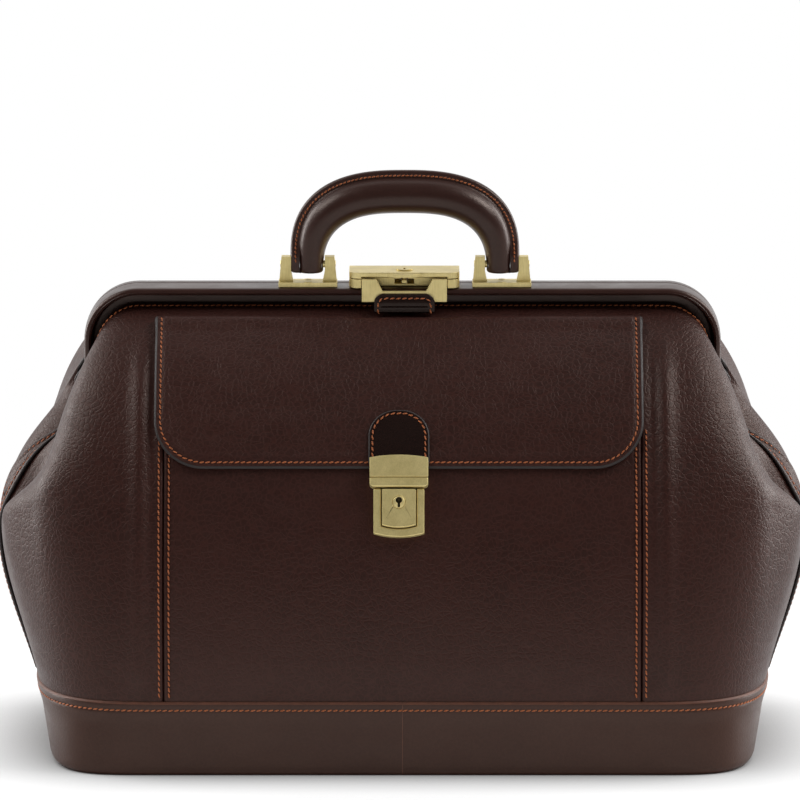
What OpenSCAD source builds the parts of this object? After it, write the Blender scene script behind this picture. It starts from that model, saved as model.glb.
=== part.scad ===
// Framed leather bag with a hinged metal mouth, a front pocket under a flap and a carrying handle.
// Millimetres. X runs along the mouth, the front faces -Y, Z is up from the floor.

/* [Body] */
// Half of the flat front, from the middle to the pocket seam
seam_x = 131; // [127:1:134]
// Half of the width over the top edge of the base band
base_half_w = 202.2; // [198:0.2:208]
// Half of the depth over the top edge of the base band
base_half_d = 105; // [100:1:110]
// Squareness of the rounded ends in plan
plan_power = 3; // [2.6:0.1:3.2]
// How far the front swells outwards from the mouth
shoulder = 70; // [64:1:76]
// How far the sides swell outwards from the mouth
side_swell = 67.4; // [64:0.2:72]
// How deep the front corners fold in between the front and the sides
front_fold = 51; // [42:1:52]
// How deep the back corners fold in between the back and the sides
back_fold = 39; // [34:1:46]
// How far the front leans out just above the base band
lean_out = 10; // [6:1:14]
// Thickness of the leather
leather_t = 2.4; // [2:0.1:2.6]

/* [Base] */
// Height of the base band
band_h = 40; // [34:1:46]
// Half of the width at the floor
floor_half_w = 194.5; // [190:0.5:198]
// Half of the depth at the floor
floor_half_d = 104.5; // [101:0.5:105]
// Squareness of the rounded ends at the floor
floor_power = 4.4; // [3.6:0.2:4.8]
// Height of the rounded bottom edge
edge_h = 5; // [4:0.5:7]
// How far the rounded bottom edge draws in
edge_in = 3.5; // [2.5:0.5:4.5]

/* [Mouth frame] */
// Half of the width over the frame
frame_half_w = 176; // [174:1:178]
// Height of the top of the frame
frame_top = 256; // [254:1:258]
// Outer radius of the frame's corners
frame_r = 30; // [28:1:31]
// Height of the hinge axis
hinge_z = 166; // [164:1:168]
// Depth of the frame's top strip, from the middle to its front edge
strip_d = 20; // [19:0.5:20]

/* [Handle] */
// Half of the distance between the handle's two legs
leg_x = 53.5; // [52:0.5:55]
// Sideways offset of the handle and its brackets
handle_shift = 1.3; // [-3:0.1:3]
// Height of the handle's pivot
pivot_z = 268; // [268:0.5:270]
// Height of the middle of the grip
grip_z = 308; // [304:1:312]
// Radius of the grip
grip_r = 11.2; // [10.4:0.2:11.4]

/* [Locks] */
// Half of the width of the top lock
lock_half_w = 30.4; // [29:0.2:33]
// Sideways offset of the top lock
lock_shift = 1; // [-2:0.5:2]
// Half of the width of the pocket lock
tuck_half_w = 13.9; // [13.3:0.1:14.2]
// Travel of the pocket lock's button
button_travel = 1.5; // [1:0.1:1.5]

/* [Pocket] */
// Half of the width of the flap
flap_half_w = 132.5; // [128:0.5:134]
// Sideways offset of the flap and its lock
flap_shift = -2; // [-3:0.5:3]
// Radius of the flap's bottom corners
flap_r = 26; // [20:1:30]
// Depth of the pocket behind the front
pocket_d = 13; // [11:0.5:14]

/* [Hidden] */
$fn = 48;

// Colours
leather = [0.17, 0.11, 0.09];
leather_base = [0.24, 0.16, 0.13];
cloth = [0.42, 0.33, 0.22];
board = [0.35, 0.28, 0.2];
steel = [0.55, 0.55, 0.55];
brass = [0.66, 0.58, 0.38];
bronze = [0.4, 0.34, 0.22];

// Play between pieces
gap = 0.3;
// Play in a bore that turns on its pin
running = 0.05;

// Share of the half front, along u, that is flat
flat_u = 0.4;
// Evens out the steps of u round the rounded ends
end_pace = 1.35;
// Share of the half front where the side strip starts
strip_u = 0.973;
// Share of the height where the back splits into its still and its soft half
split_v = 0.46;

// Centre of the frame's corner arcs
corner_x = frame_half_w - frame_r;
corner_z = frame_top - frame_r;
// Path of the leather's sewn edge inside the frame
edge_r = frame_r - 9;
edge_y = 11.4;
// Half distance of the leather's edge from the middle, where it passes before the frame's legs
leg_edge_y = strip_d + 1;
leg_out = 14;
leg_turn = 0.38;
leg_len = corner_z - hinge_z;
arc_len = edge_r * PI / 2;
edge_end = corner_x + arc_len + leg_len;

function clamp01(t) = min(1, max(0, t));
function smooth(t) = let (s = clamp01(t)) s * s * (3 - 2 * s);
function mix(a, b, t) = a + (b - a) * t;
function steps(a, b, n) = [for (i = [0:n]) a + (b - a) * i / n];
function unit(v) = v / norm(v);
function side_share(u) = clamp01((u - flat_u) / (1 - flat_u));

// Outline of the base in plan, with u from the front centre, 0, to the side centre, 1
function plan_pt(u, half_w, half_d, power) =
    u <= flat_u ? [seam_x * u / flat_u, -half_d]
    : let (a = 90 * pow(1 - side_share(u), end_pace), p = 2 / power)
        [seam_x + (half_w - seam_x) * pow(cos(a), p), -half_d * pow(sin(a), p)];

// Outward direction of that outline
function plan_out(u) =
    u <= flat_u ? [0, -1, 0]
    : let (p = plan_pt(u, base_half_w, base_half_d, plan_power),
           w = base_half_w - seam_x,
           q = plan_power - 1)
        unit([pow((p[0] - seam_x) / w, q) / w, -pow(-p[1] / base_half_d, q) / base_half_d, 0]);

// Sewn edge of the leather along the frame: top bar, corner arc, then the leg down to the hinge
function edge_pt(u) =
    let (s = u <= flat_u ? seam_x * u / flat_u : mix(seam_x, edge_end, side_share(u)))
    s <= corner_x ? [s, -edge_y, corner_z + edge_r]
    : s <= corner_x + arc_len ? arc_edge((s - corner_x) / arc_len)
    : leg_edge((s - corner_x - arc_len) / leg_len);
function arc_edge(f) =
    [corner_x + edge_r * sin(90 * f), -mix(edge_y, leg_edge_y, smooth(f)), corner_z + edge_r * cos(90 * f)];
function leg_edge(f) =
    [corner_x + edge_r + leg_out * smooth(f / leg_turn),
     -leg_edge_y * (1 - smooth((f - leg_turn) / (1 - leg_turn))),
     corner_z - leg_len * f];

// How far the sides lean out just above the base band
side_lean = 14.4;
// Drop of the swell below the mouth's edge, as a share of the wall's height
drop_front = 0.17;
drop_side = 0.2275;
// Which half is drawn: the back has its corners folded in its own way
$back = false;
// Corner fold of each half: depth, its place and width as shares of the corner, how far it leans out and
// drops, the shares between which the swell turns from straight ahead to straight sideways, then the
// shares of the wall's height between which the fold deepens
front_corner = [front_fold, 0.662, 0.2065, 11.6, 0.239, 0.14, 0.747, 0.5, 0.7];
back_corner = [back_fold, 0.621, 0.13, 13, 0.058, 0, 0.889, -1, 0];

// A point of the front half's outer surface, v from the base band, 0, to the frame, 1
function skin(u, v) =
    let (a = abs(u),
         c = $back ? back_corner : front_corner,
         p = plan_pt(a, base_half_w, base_half_d, plan_power),
         b = [p[0], p[1], band_h + gap],
         e = edge_pt(a),
         n = plan_out(a),
         rise = e[2] - b[2],
         s = side_share(a),
         deep = smooth((v - c[7]) / (c[8] - c[7])),
         fold = deep * exp(-pow((s - c[1]) / c[2], 2)) * (1 - smooth((s - 0.8) / 0.2)),
         swell = mix(shoulder, side_swell, s * s) - c[0] * fold,
         lean = mix(lean_out, side_lean, s) + c[3] * fold,
         drop = mix(drop_front, drop_side, s) + c[4] * fold,
         turn = -90 * (1 - smooth((s - c[5]) / (c[6] - c[5]))),
         p1 = b + [0, 0, 0.375 * rise] + lean * n,
         p2 = e + swell * [cos(turn), sin(turn), 0] - [0, 0, drop * rise],
         q = pow(1 - v, 3) * b + 3 * pow(1 - v, 2) * v * p1 + 3 * (1 - v) * v * v * p2 + pow(v, 3) * e)
    u < 0 ? [-q[0], q[1], q[2]] : q;

// Outward direction of that surface
function skin_out(u, v) =
    let (h = 0.004,
         du = skin(min(1, u + h), v) - skin(max(-1, u - h), v),
         dv = skin(u, min(1, v + h)) - skin(u, max(0, v - h)),
         n = unit(cross(du, dv)))
    abs(u) > 0.999 ? unit([n[0], 0, max(n[2], 0)]) : n;
// A point at a depth under that surface
function under(u, v, d) = skin(u, v) - d * skin_out(u, v);

// Closed shell between two surfaces given on the same grid
module shell(us, vs, outer, inner) {
    nu = len(us);
    nv = len(vs);
    m = nu * nv;
    points = concat([for (v = vs) for (u = us) outer(u, v)], [for (v = vs) for (u = us) inner(u, v)]);
    quads = concat(
        [for (j = [0:nv - 2]) for (i = [0:nu - 2])
            [j * nu + i, (j + 1) * nu + i, (j + 1) * nu + i + 1, j * nu + i + 1]],
        [for (j = [0:nv - 2]) for (i = [0:nu - 2])
            [m + j * nu + i, m + j * nu + i + 1, m + (j + 1) * nu + i + 1, m + (j + 1) * nu + i]],
        [for (i = [0:nu - 2]) [i, i + 1, m + i + 1, m + i]],
        [for (i = [0:nu - 2]) let (k = (nv - 1) * nu + i) [k + 1, k, m + k, m + k + 1]],
        [for (j = [0:nv - 2]) [(j + 1) * nu, j * nu, m + j * nu, m + (j + 1) * nu]],
        [for (j = [0:nv - 2]) let (k = j * nu + nu - 1) [k, k + nu, m + k + nu, m + k]]);
    polyhedron(points, [for (q = quads) each [[q[0], q[1], q[2]], [q[0], q[2], q[3]]]]);
}

// Piece of leather on the front half, pared down towards its sewn edge
function leather_d(v) = leather_t * (1 - 0.5 * smooth((v - 0.8) / 0.15));
module leather_sheet(us, vs) {
    shell(us, vs, function(u, v) skin(u, v), function(u, v) under(u, v, leather_d(v)));
}

module to_back() {
    $back = true;
    mirror([0, 1, 0]) children();
}

module to_left() {
    mirror([1, 0, 0]) children();
}

// Base

// Half sizes of the band's outside at a height
function band_in(z) = z < edge_h ? edge_in * (1 - sqrt(1 - pow((edge_h - z) / edge_h, 2))) : 0;
function band_pt(p, z, inset) =
    let (w = mix(floor_half_w, base_half_w, z / band_h) - band_in(z) - inset,
         d = mix(floor_half_d, base_half_d, z / band_h) - band_in(z) - inset,
         power = mix(floor_power, plan_power, z / band_h),
         q = plan_pt(p <= 1 ? p : 2 - p, w, d, power))
    [q[0], p <= 1 ? q[1] : -q[1], z];
band_t = 3;
band_seam_u = gap / 2 * flat_u / seam_x;
band_us = concat(steps(band_seam_u, flat_u, 3), steps(flat_u + 0.03, 2 - flat_u - 0.03, 34),
    steps(2 - flat_u, 2 - band_seam_u, 3));
band_zs = concat([gap, 0.16 * edge_h, 0.4 * edge_h], steps(edge_h, band_h, 4));

module base_band_right() {
    color(leather_base)
        shell(band_us, band_zs, function(p, z) band_pt(p, z, 0), function(p, z) band_pt(p, z, band_t));
}

module base_band_left() {
    to_left() base_band_right();
}

module plan_plate(inset, z, t) {
    right = [for (p = band_us) let (q = band_pt(p, edge_h, inset)) [q[0], q[1]]];
    left = [for (i = [len(right) - 1:-1:0]) [-right[i][0], right[i][1]]];
    translate([0, 0, z]) linear_extrude(t) polygon(concat(right, left));
}

bottom_inset = 8;
bottom_t = 2.4;
board_inset = 7;
board_t = 3;

module bottom_panel() {
    color(leather_base) plan_plate(bottom_inset, 0, bottom_t);
}

module base_board() {
    color(board) plan_plate(board_inset, bottom_t + gap / 2, board_t);
}

// Leather walls

low_v = 0.004;
top_v = 0.994;
seam_u = flat_u * (seam_x - 0.4) / seam_x;
side_us = concat([flat_u + 0.0015], steps(flat_u + 0.03, strip_u - 0.003, 17));
centre_us = steps(-seam_u, seam_u, 10);
pocket_top_v = 0.83;
wall_rise_v = 0.09;

module front_side_right() {
    color(leather) leather_sheet(side_us, steps(low_v, top_v, 18));
}

module front_side_left() {
    to_left() front_side_right();
}

module pocket_front() {
    color(leather) leather_sheet(centre_us, steps(low_v, pocket_top_v, 16));
}

// Depth of the wall behind the pocket: a shallow pan that comes up to the front at its rim
pan_rim = leather_t + gap;
function pan_depth(u, v) =
    (pan_rim + (pocket_d - pan_rim) * (1 - pow(abs(u) / seam_u, 6)) * smooth(v / 0.06))
    * (1 - smooth((v - pocket_top_v + 0.01) / wall_rise_v));
wall_t = 2;
wall_vs = concat([low_v, 0.02, 0.04, 0.06], steps(0.12, pocket_top_v - 0.01, 8), steps(0.84, top_v, 8));
wall_us = concat([-seam_u, -0.97 * seam_u, -0.92 * seam_u], steps(-0.85 * seam_u, 0.85 * seam_u, 10),
    [0.92 * seam_u, 0.97 * seam_u, seam_u]);

module front_wall() {
    color(leather)
        shell(wall_us, wall_vs,
            function(u, v) under(u, v, pan_depth(u, v)),
            function(u, v) under(u, v, pan_depth(u, v) + wall_t));
}

// Depth of the lining: behind the pan in the middle, behind the leather at the sides
lining_t = 0.8;
lining_d = leather_t + 1.2;
function lining_depth(u, v) =
    abs(u) <= seam_u + 0.001 ? max(lining_d, pan_depth(u, v) + wall_t + 1) : lining_d;
lining_n = 17;
lining_side_us = steps(flat_u + 0.03, strip_u - 0.003, lining_n);
lining_us = concat([for (i = [lining_n:-1:0]) -lining_side_us[i]], wall_us, lining_side_us);
lining_top_v = 0.9;
lining_vs = concat([low_v, 0.02, 0.04, 0.06], steps(0.12, pocket_top_v - 0.01, 16),
    steps(0.84, lining_top_v, 4));

module lining_front() {
    color(cloth)
        shell(lining_us, lining_vs,
            function(u, v) under(u, v, lining_depth(u, v)),
            function(u, v) under(u, v, lining_depth(u, v) + lining_t));
}

module lining_sheet(vs) {
    shell(lining_us, vs,
        function(u, v) under(u, v, lining_d),
        function(u, v) under(u, v, lining_d + lining_t));
}

module lining_back() {
    color(cloth)
        to_back() lining_sheet(back_low_vs);
}

module lining_back_upper() {
    color(cloth)
        to_back() lining_sheet(lining_up_vs);
}

back_low_vs = steps(low_v, split_v - 0.003, 8);
back_up_vs = steps(split_v + 0.003, top_v, 10);
lining_up_vs = steps(split_v + 0.003, lining_top_v, 8);

module back_panel() {
    color(leather) to_back() leather_sheet(centre_us, back_low_vs);
}

module back_panel_upper() {
    color(leather) to_back() leather_sheet(centre_us, back_up_vs);
}

module back_side_right() {
    color(leather) to_back() leather_sheet(side_us, back_low_vs);
}

module back_side_left() {
    to_left() back_side_right();
}

module back_side_upper_right() {
    color(leather) to_back() leather_sheet(side_us, back_up_vs);
}

module back_side_upper_left() {
    to_left() back_side_upper_right();
}

// Strip over the seam of the front and the back, from the base band to the hinge
strip_ps = steps(strip_u, 2 - strip_u, 4);
strip_top_v = 0.97;
function strip_pt(p, v, d) =
    let (q = under(p <= 1 ? p : 2 - p, v, d)) [q[0], p <= 1 ? q[1] : -q[1], q[2]];

module side_strip_right() {
    color(leather)
        shell(strip_ps, steps(low_v, strip_top_v, 18),
            function(p, v) strip_pt(p, v, -1.2),
            function(p, v) strip_pt(p, v, 1.2));
}

module side_strip_left() {
    to_left() side_strip_right();
}

// Mouth frame

// Cross sections, as distance from the corner's centre and distance from the middle of the bag
lip_t = 4.5;
web_r = frame_r - 16;
web_d = 9;
lip_round = lip_t / 2;
leg_bottom = hinge_z + 7;
lip_end = hinge_z + 39;
core_wall = 1.6;

module lip_section() {
    translate([frame_r - lip_t, gap]) square([lip_t, strip_d - lip_round - gap]);
    translate([frame_r - lip_round, strip_d - lip_round]) circle(lip_round);
    translate([web_r, gap]) square([frame_r - lip_round - web_r, web_d - gap]);
}

module leg_section() {
    translate([web_r, gap]) square([frame_r - web_r, web_d - gap]);
}

module lip_core() {
    translate([frame_r - 3, 2]) square([core_wall, strip_d - 5]);
    translate([web_r + 2, 4]) square([frame_r - 3 + core_wall - web_r - 2, 2.4]);
}

module leg_core() {
    translate([web_r + 2, 4]) square([frame_r - 3 + core_wall - web_r - 2, 2.4]);
}

// Runs a section along half of the front frame: bar, corner and leg
module bar_run(length) {
    translate([0, 0, corner_z]) rotate([90, 0, -90]) mirror([1, 0, 0]) rotate(90)
        linear_extrude(length, center = true) children();
}

module corner_run() {
    translate([corner_x, 0, corner_z]) rotate([90, 0, 0]) rotate_extrude(angle = 90) children();
}

module leg_run(z0, z1) {
    translate([corner_x, 0, z0]) mirror([0, 1, 0]) linear_extrude(z1 - z0) children();
}

module both_sides() {
    children();
    to_left() children();
}

module frame_core() {
    difference() {
        union() {
            bar_run(2 * corner_x) lip_core();
            both_sides() {
                corner_run() lip_core();
                leg_run(lip_end, corner_z) lip_core();
                leg_run(leg_bottom, lip_end) leg_core();
            }
        }
        frame_screw_holes();
    }
}

module frame_cover() {
    difference() {
        union() {
            bar_run(2 * corner_x) difference() { lip_section(); lip_core(); }
            both_sides() {
                corner_run() difference() { lip_section(); lip_core(); }
                leg_run(lip_end, corner_z) difference() { lip_section(); lip_core(); }
                leg_run(leg_bottom, lip_end) difference() { leg_section(); leg_core(); }
            }
        }
        frame_screw_holes();
    }
}

// Hinge at the foot of the legs
knuckle_r = 5;
knuckle_len = 5.6;
hinge_pin_r = 2;
hinge_in = frame_half_w - 14;
knuckle_gap = 0.4;

module knuckle(x, bore_r, y) {
    difference() {
        union() {
            translate([x, 0, hinge_z]) rotate([0, 90, 0]) cylinder(r = knuckle_r, h = knuckle_len);
            translate([x, min(0, y), hinge_z]) cube([knuckle_len, abs(y), leg_bottom - hinge_z]);
        }
        translate([x - 1, 0, hinge_z]) rotate([0, 90, 0]) cylinder(r = bore_r, h = knuckle_len + 2);
    }
}

module front_frame() {
    color(steel) {
        frame_core();
        both_sides() knuckle(hinge_in, hinge_pin_r, -6.4);
    }
}

module front_frame_wrap() {
    color(leather) frame_cover();
}

module back_frame() {
    color(steel) {
        to_back() frame_core();
        both_sides() knuckle(hinge_in + knuckle_len + knuckle_gap, hinge_pin_r + running, 6.4);
    }
}

module back_frame_wrap() {
    color(leather) to_back() frame_cover();
}

module hinge_pins() {
    color(steel) both_sides()
        translate([hinge_in, 0, hinge_z]) rotate([0, 90, 0])
            cylinder(r = hinge_pin_r, h = 2 * knuckle_len + knuckle_gap + 0.6);
}

// Handle brackets

bracket_t = 2.5;
bracket_half_l = 16.2;
bracket_half_d = 7;
strip_mid = -9;
cheek_in = 9.3;
cheek_out = 14.6;
cheek_foot = 8;
cheek_top = 16.4;
cheek_knee = 8;
cheek_half = 3.2;
pin_r = 2;
screw_r = 1.2;
screw_head_r = 2.1;
screw_head_h = 0.3;
screw_dy = 4.6;
screw_len = 6;

module at_screws() {
    for (t = [-1, 1]) for (s = [-1, 1])
        translate([handle_shift + t * leg_x, strip_mid + s * screw_dy, frame_top + bracket_t]) children();
}

module frame_screw_holes() {
    at_screws() translate([0, 0, -screw_len - 1]) cylinder(r = screw_r + 0.02, h = screw_len + 2);
}

// One cheek seen from the front, on the right of the leg
module cheek_outline() {
    polygon([[cheek_foot, bracket_t - 0.5], [bracket_half_l - 0.3, bracket_t - 0.5],
        [cheek_out, cheek_top], [cheek_in, cheek_top], [cheek_in, cheek_knee]]);
}

module bracket(x) {
    color(brass) difference() {
        translate([x, strip_mid, frame_top]) {
            translate([-bracket_half_l, -bracket_half_d, 0])
                cube([2 * bracket_half_l, 2 * bracket_half_d, bracket_t]);
            both_sides() translate([0, cheek_half, 0]) rotate([90, 0, 0])
                linear_extrude(2 * cheek_half) cheek_outline();
        }
        translate([x, strip_mid, pivot_z]) rotate([0, 90, 0])
            cylinder(r = pin_r + 0.01, h = leg_x, center = true);
        frame_screw_holes();
    }
}

module bracket_right() {
    bracket(handle_shift + leg_x);
}

module bracket_left() {
    bracket(handle_shift - leg_x);
}

module bracket_screws() {
    color(brass) at_screws() {
        cylinder(r = screw_head_r, h = screw_head_h);
        translate([0, 0, -screw_len]) cylinder(r = screw_r, h = screw_len);
    }
}

module handle_pins() {
    color(brass) at_feet() cylinder(r = pin_r, h = 2 * cheek_out + 1.4, center = true);
}

// Handle

leg_r = 8.6;
leg_foot_r = 5.8;
leg_foot_half = 8.2;
arch_r = 30;
arch_z = grip_z - arch_r;
leg_straight = 7.4;
core_r = 3;
boss_r = 4.2;
boss_half = 7.7;

// Runs along the handle: both legs, both corners and the grip between them
module handle_run(foot_r, top_r) {
    translate([handle_shift, 0, 0]) both_sides() {
        translate([leg_x, strip_mid, pivot_z]) cylinder(r = foot_r, h = leg_straight);
        translate([leg_x, strip_mid, pivot_z + leg_straight])
            cylinder(r1 = foot_r, r2 = top_r, h = arch_z - pivot_z - leg_straight);
        translate([leg_x - arch_r, strip_mid, arch_z]) rotate([90, 0, 0])
            rotate_extrude(angle = 90) translate([arch_r, 0]) circle(top_r);
        translate([0, strip_mid, grip_z]) rotate([0, 90, 0]) cylinder(r = top_r, h = leg_x - arch_r);
    }
}

module at_feet() {
    for (t = [-1, 1])
        translate([handle_shift + t * leg_x, strip_mid, pivot_z]) rotate([0, 90, 0]) children();
}

module handle_core() {
    color(steel) difference() {
        union() {
            handle_run(core_r, core_r);
            at_feet() cylinder(r = boss_r, h = 2 * boss_half, center = true);
        }
        at_feet() cylinder(r = pin_r + running, h = 3 * boss_half, center = true);
    }
}

module handle_grip() {
    color(leather) difference() {
        union() {
            handle_run(leg_r, grip_r);
            at_feet() cylinder(r = leg_foot_r, h = 2 * leg_foot_half, center = true);
        }
        handle_run(core_r, core_r);
        at_feet() cylinder(r = boss_r, h = 2 * boss_half, center = true);
        at_feet() cylinder(r = pin_r + gap, h = 3 * boss_half, center = true);
    }
}

// Top lock

lock_d0 = -strip_d;
lock_split = frame_top + 5;
cover_t = 3.4;
cover_z = lock_split + gap;
lock_hinge_y = 9;
lock_hinge_z = frame_top + 4.4;
lock_pin_r = 1.2;
lock_knuckle_r = 2.6;
key_y = -10;
key_r = 4.5;
cam_half = 4.8;
cam_half_w = 1.4;
cam_z0 = frame_top + 2;
cam_z1 = frame_top + 3.6;
cavity_r = 5.6;
channel_half = 2.2;
end_round = 5;
// Recess in the front of the lock, between its two end pillars
pillar_in = 23.7;
recess_d = 8;

// Plate with two rounded front corners
module lock_outline(y0, y1) {
    translate([-lock_half_w + end_round, y0]) square([2 * (lock_half_w - end_round), y1 - y0]);
    translate([-lock_half_w, y0 + end_round]) square([2 * lock_half_w, y1 - y0 - end_round]);
    for (s = [-1, 1])
        translate([s * (lock_half_w - end_round), y0 + end_round]) circle(end_round);
}

module at_lock() {
    translate([lock_shift, 0, 0]) children();
}

module lock_base() {
    color(brass) at_lock() difference() {
        translate([0, 0, frame_top]) linear_extrude(lock_split - frame_top) lock_outline(lock_d0, -0.6);
        translate([0, key_y, cam_z0 - 0.6]) cylinder(r = cavity_r, h = cam_z1 - cam_z0 + 1);
        translate([-channel_half, key_y - cavity_r, cam_z0 - 0.6]) cube([2 * channel_half, 30, 10]);
        translate([-pillar_in, lock_d0 - 1, frame_top - 1]) cube([2 * pillar_in, 1 + recess_d, 10]);
    }
}

apron_y = lock_d0 - gap;
apron_t = 1.8;
apron_half = 23.5;
notch_half = 12;
notch_z = frame_top - 1.2;

module lock_apron() {
    color(brass) at_lock() translate([0, apron_y, 0]) rotate([90, 0, 0]) linear_extrude(apron_t)
        polygon([[-apron_half, frame_top + 5.4], [-apron_half, frame_top - 7.4],
            [apron_half, frame_top - 7.4], [apron_half, frame_top + 5.4],
            [notch_half + 3.5, frame_top + 5.4], [notch_half, notch_z],
            [-notch_half, notch_z], [-notch_half - 3.5, frame_top + 5.4]]);
}

tab_half = 16.85;
tab_t = 2;
tab_h = 10.6;
tab_r = 5.2;

module lock_tab() {
    color(leather) at_lock()
        translate([0, apron_y - apron_t - 0.1, frame_top - 13.2]) rotate([90, 0, 0]) linear_extrude(tab_t) {
            translate([-tab_half, 0]) square([2 * tab_half, tab_h - tab_r]);
            translate([tab_r - tab_half, 0]) square([2 * (tab_half - tab_r), tab_h]);
            for (s = [-1, 1]) translate([s * (tab_half - tab_r), tab_h - tab_r]) circle(tab_r);
        }
}

module lock_hinge_plate() {
    color(brass) at_lock() difference() {
        union() {
            translate([-lock_half_w, 1, frame_top]) cube([2 * lock_half_w, 14, 1.4]);
            for (x = [-lock_half_w, lock_half_w - 8])
                translate([x, lock_hinge_y, lock_hinge_z]) rotate([0, 90, 0])
                    cylinder(r = lock_knuckle_r, h = 8);
            for (x = [-lock_half_w, lock_half_w - 8])
                translate([x, lock_hinge_y - lock_knuckle_r, frame_top])
                    cube([8, 2 * lock_knuckle_r, lock_hinge_z - frame_top]);
        }
        translate([-lock_half_w - 1, lock_hinge_y, lock_hinge_z]) rotate([0, 90, 0])
            cylinder(r = lock_pin_r, h = 2 * lock_half_w + 2);
    }
}

module lock_hinge_pin() {
    color(brass) at_lock() translate([-lock_half_w, lock_hinge_y, lock_hinge_z]) rotate([0, 90, 0])
        cylinder(r = lock_pin_r, h = 2 * lock_half_w);
}

cover_knuckle_half = lock_half_w - 8 - 0.4;

module lock_cover() {
    color(brass) at_lock() difference() {
        union() {
            translate([0, 0, cover_z]) linear_extrude(cover_t) lock_outline(lock_d0, 5.4);
            translate([-cover_knuckle_half, 0, cover_z])
                cube([2 * cover_knuckle_half, lock_hinge_y, cover_t - 2]);
            translate([-cover_knuckle_half, lock_hinge_y, lock_hinge_z]) rotate([0, 90, 0])
                cylinder(r = lock_knuckle_r, h = 2 * cover_knuckle_half);
            translate([0, lock_d0 + 0.4, cover_z + 1]) intersection() {
                translate([0, 12, 0]) cylinder(r = 15.6, h = 2);
                translate([-10.5, -4, 0]) cube([21, 4, 2]);
            }
        }
        translate([-lock_half_w, lock_hinge_y, lock_hinge_z]) rotate([0, 90, 0])
            cylinder(r = lock_pin_r + running, h = 2 * lock_half_w);
        translate([0, key_y, cover_z - 1]) cylinder(r = key_r + running, h = cover_t + 2);
        translate([-pillar_in, lock_d0 - 5, cover_z - 5]) cube([2 * pillar_in, 5 + recess_d, 6]);
    }
}

module lock_key_plug() {
    color(brass) at_lock() difference() {
        union() {
            translate([0, key_y, cover_z + 0.2]) cylinder(r = key_r, h = cover_t + 0.6);
            translate([0, key_y, cam_z0]) cylinder(r = cam_half_w, h = cover_z + 1 - cam_z0);
            translate([-cam_half_w, key_y - cam_half, cam_z0])
                cube([2 * cam_half_w, 2 * cam_half, cam_z1 - cam_z0]);
        }
        translate([-0.6, key_y - 2.4, cover_z + cover_t - 1.6]) cube([1.2, 4.8, 4]);
    }
}

// Pocket flap

flap_low_v = 0.5355;
flap_top_v = 0.934;
flap_d_in = -0.8;
flap_d_out = -3.4;
// Length along the front for a whole step of v, near the flap
flap_run = norm(skin(0, flap_top_v) - skin(0, flap_low_v)) / (flap_top_v - flap_low_v);
flap_us = [-1, -0.98, -0.94, -0.88, -0.78, -0.6, -0.3, 0, 0.3, 0.6, 0.78, 0.88, 0.94, 0.98, 1];
flap_vs = concat([for (s = [0, 0.6, 2, 5, 10, 17, 26]) flap_low_v + s / flap_run],
    steps(flap_low_v + 34 / flap_run, flap_top_v - 6 / flap_run, 5),
    [flap_top_v - 4 / flap_run, flap_top_v - 2 / flap_run, flap_top_v]);
function flap_half(v) =
    let (s = flap_r - min(flap_r, (v - flap_low_v) * flap_run))
    flap_half_w - flap_r + sqrt(max(0, flap_r * flap_r - s * s));
// The flap thins to its fold line at the top
function flap_outer(v) =
    mix(flap_d_in - 0.5, flap_d_out, smooth((flap_top_v - v) * flap_run / 6));
// The flap stays on the flat front's curve right out to its ends
function front_pt(x, v, d) =
    let (q = under(0, v, d)) [x + flap_shift, q[1], q[2]];

module pocket_flap() {
    color(leather)
        shell(flap_us, flap_vs,
            function(a, v) front_pt(a * flap_half(v), v, flap_outer(v)),
            function(a, v) front_pt(a * flap_half(v), v, flap_d_in));
}

flap_tab_half = 16;
flap_tab_low_v = 0.5415;
flap_tab_top_v = 0.663;
flap_tab_d_in = flap_d_out - 0.1;
flap_tab_d_out = flap_d_out - 1.7;
flap_tab_vs = concat(steps(flap_tab_low_v, flap_tab_top_v - 14 / flap_run, 4),
    [for (s = [10, 6.5, 3.5, 1.5, 0.4, 0]) flap_tab_top_v - s / flap_run]);
function flap_tab_w(v) =
    let (s = 14 - min(14, (flap_tab_top_v - v) * flap_run))
    flap_tab_half - 14 + sqrt(max(0, 14 * 14 - s * s));

module flap_tab() {
    color(leather)
        shell([-1, -0.9, -0.5, 0, 0.5, 0.9, 1], flap_tab_vs,
            function(a, v) front_pt(a * flap_tab_w(v), v, flap_tab_d_out),
            function(a, v) front_pt(a * flap_tab_w(v), v, flap_tab_d_in));
}

// Pocket lock: each half lies in a plane that touches the front at its own height

// Stands a piece on the front at v: its own Z runs up the leather and its own Y runs into the bag
module on_front(v) {
    n = skin_out(0, v);
    translate(skin(0, v) + [flap_shift, 0, 0]) rotate([-atan2(n[2], -n[1]), 0, 0]) children();
}

// Extrudes an outline in X and Z through a range of Y
module through(y0, y1) {
    translate([0, y1, 0]) rotate([90, 0, 0]) linear_extrude(y1 - y0) children();
}

tuck_v = 0.433;
hasp_v = 0.5286;
tuck_low = -14;
tuck_high = 12.5;
tuck_front = -6;
button_half_w = 9.2;
button_low = -9;
button_high = 12.2;
button_rise = 1.4;
button_back = -3.2;
button_front = -6.9;
slide_gap = 0.5;
seat_back = -1.4;
key_z = 5;
plug_r = 3.4;

// Plate whose one end is a shallow arch
module arched_plate(half_w, z_flat, z_arch, rise) {
    r = (half_w * half_w + rise * rise) / (2 * rise);
    s = sign(z_arch - z_flat);
    intersection() {
        translate([-half_w, min(z_flat, z_arch)]) square([2 * half_w, abs(z_arch - z_flat)]);
        translate([0, z_arch - s * r]) circle(r, $fn = 96);
    }
}

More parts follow.
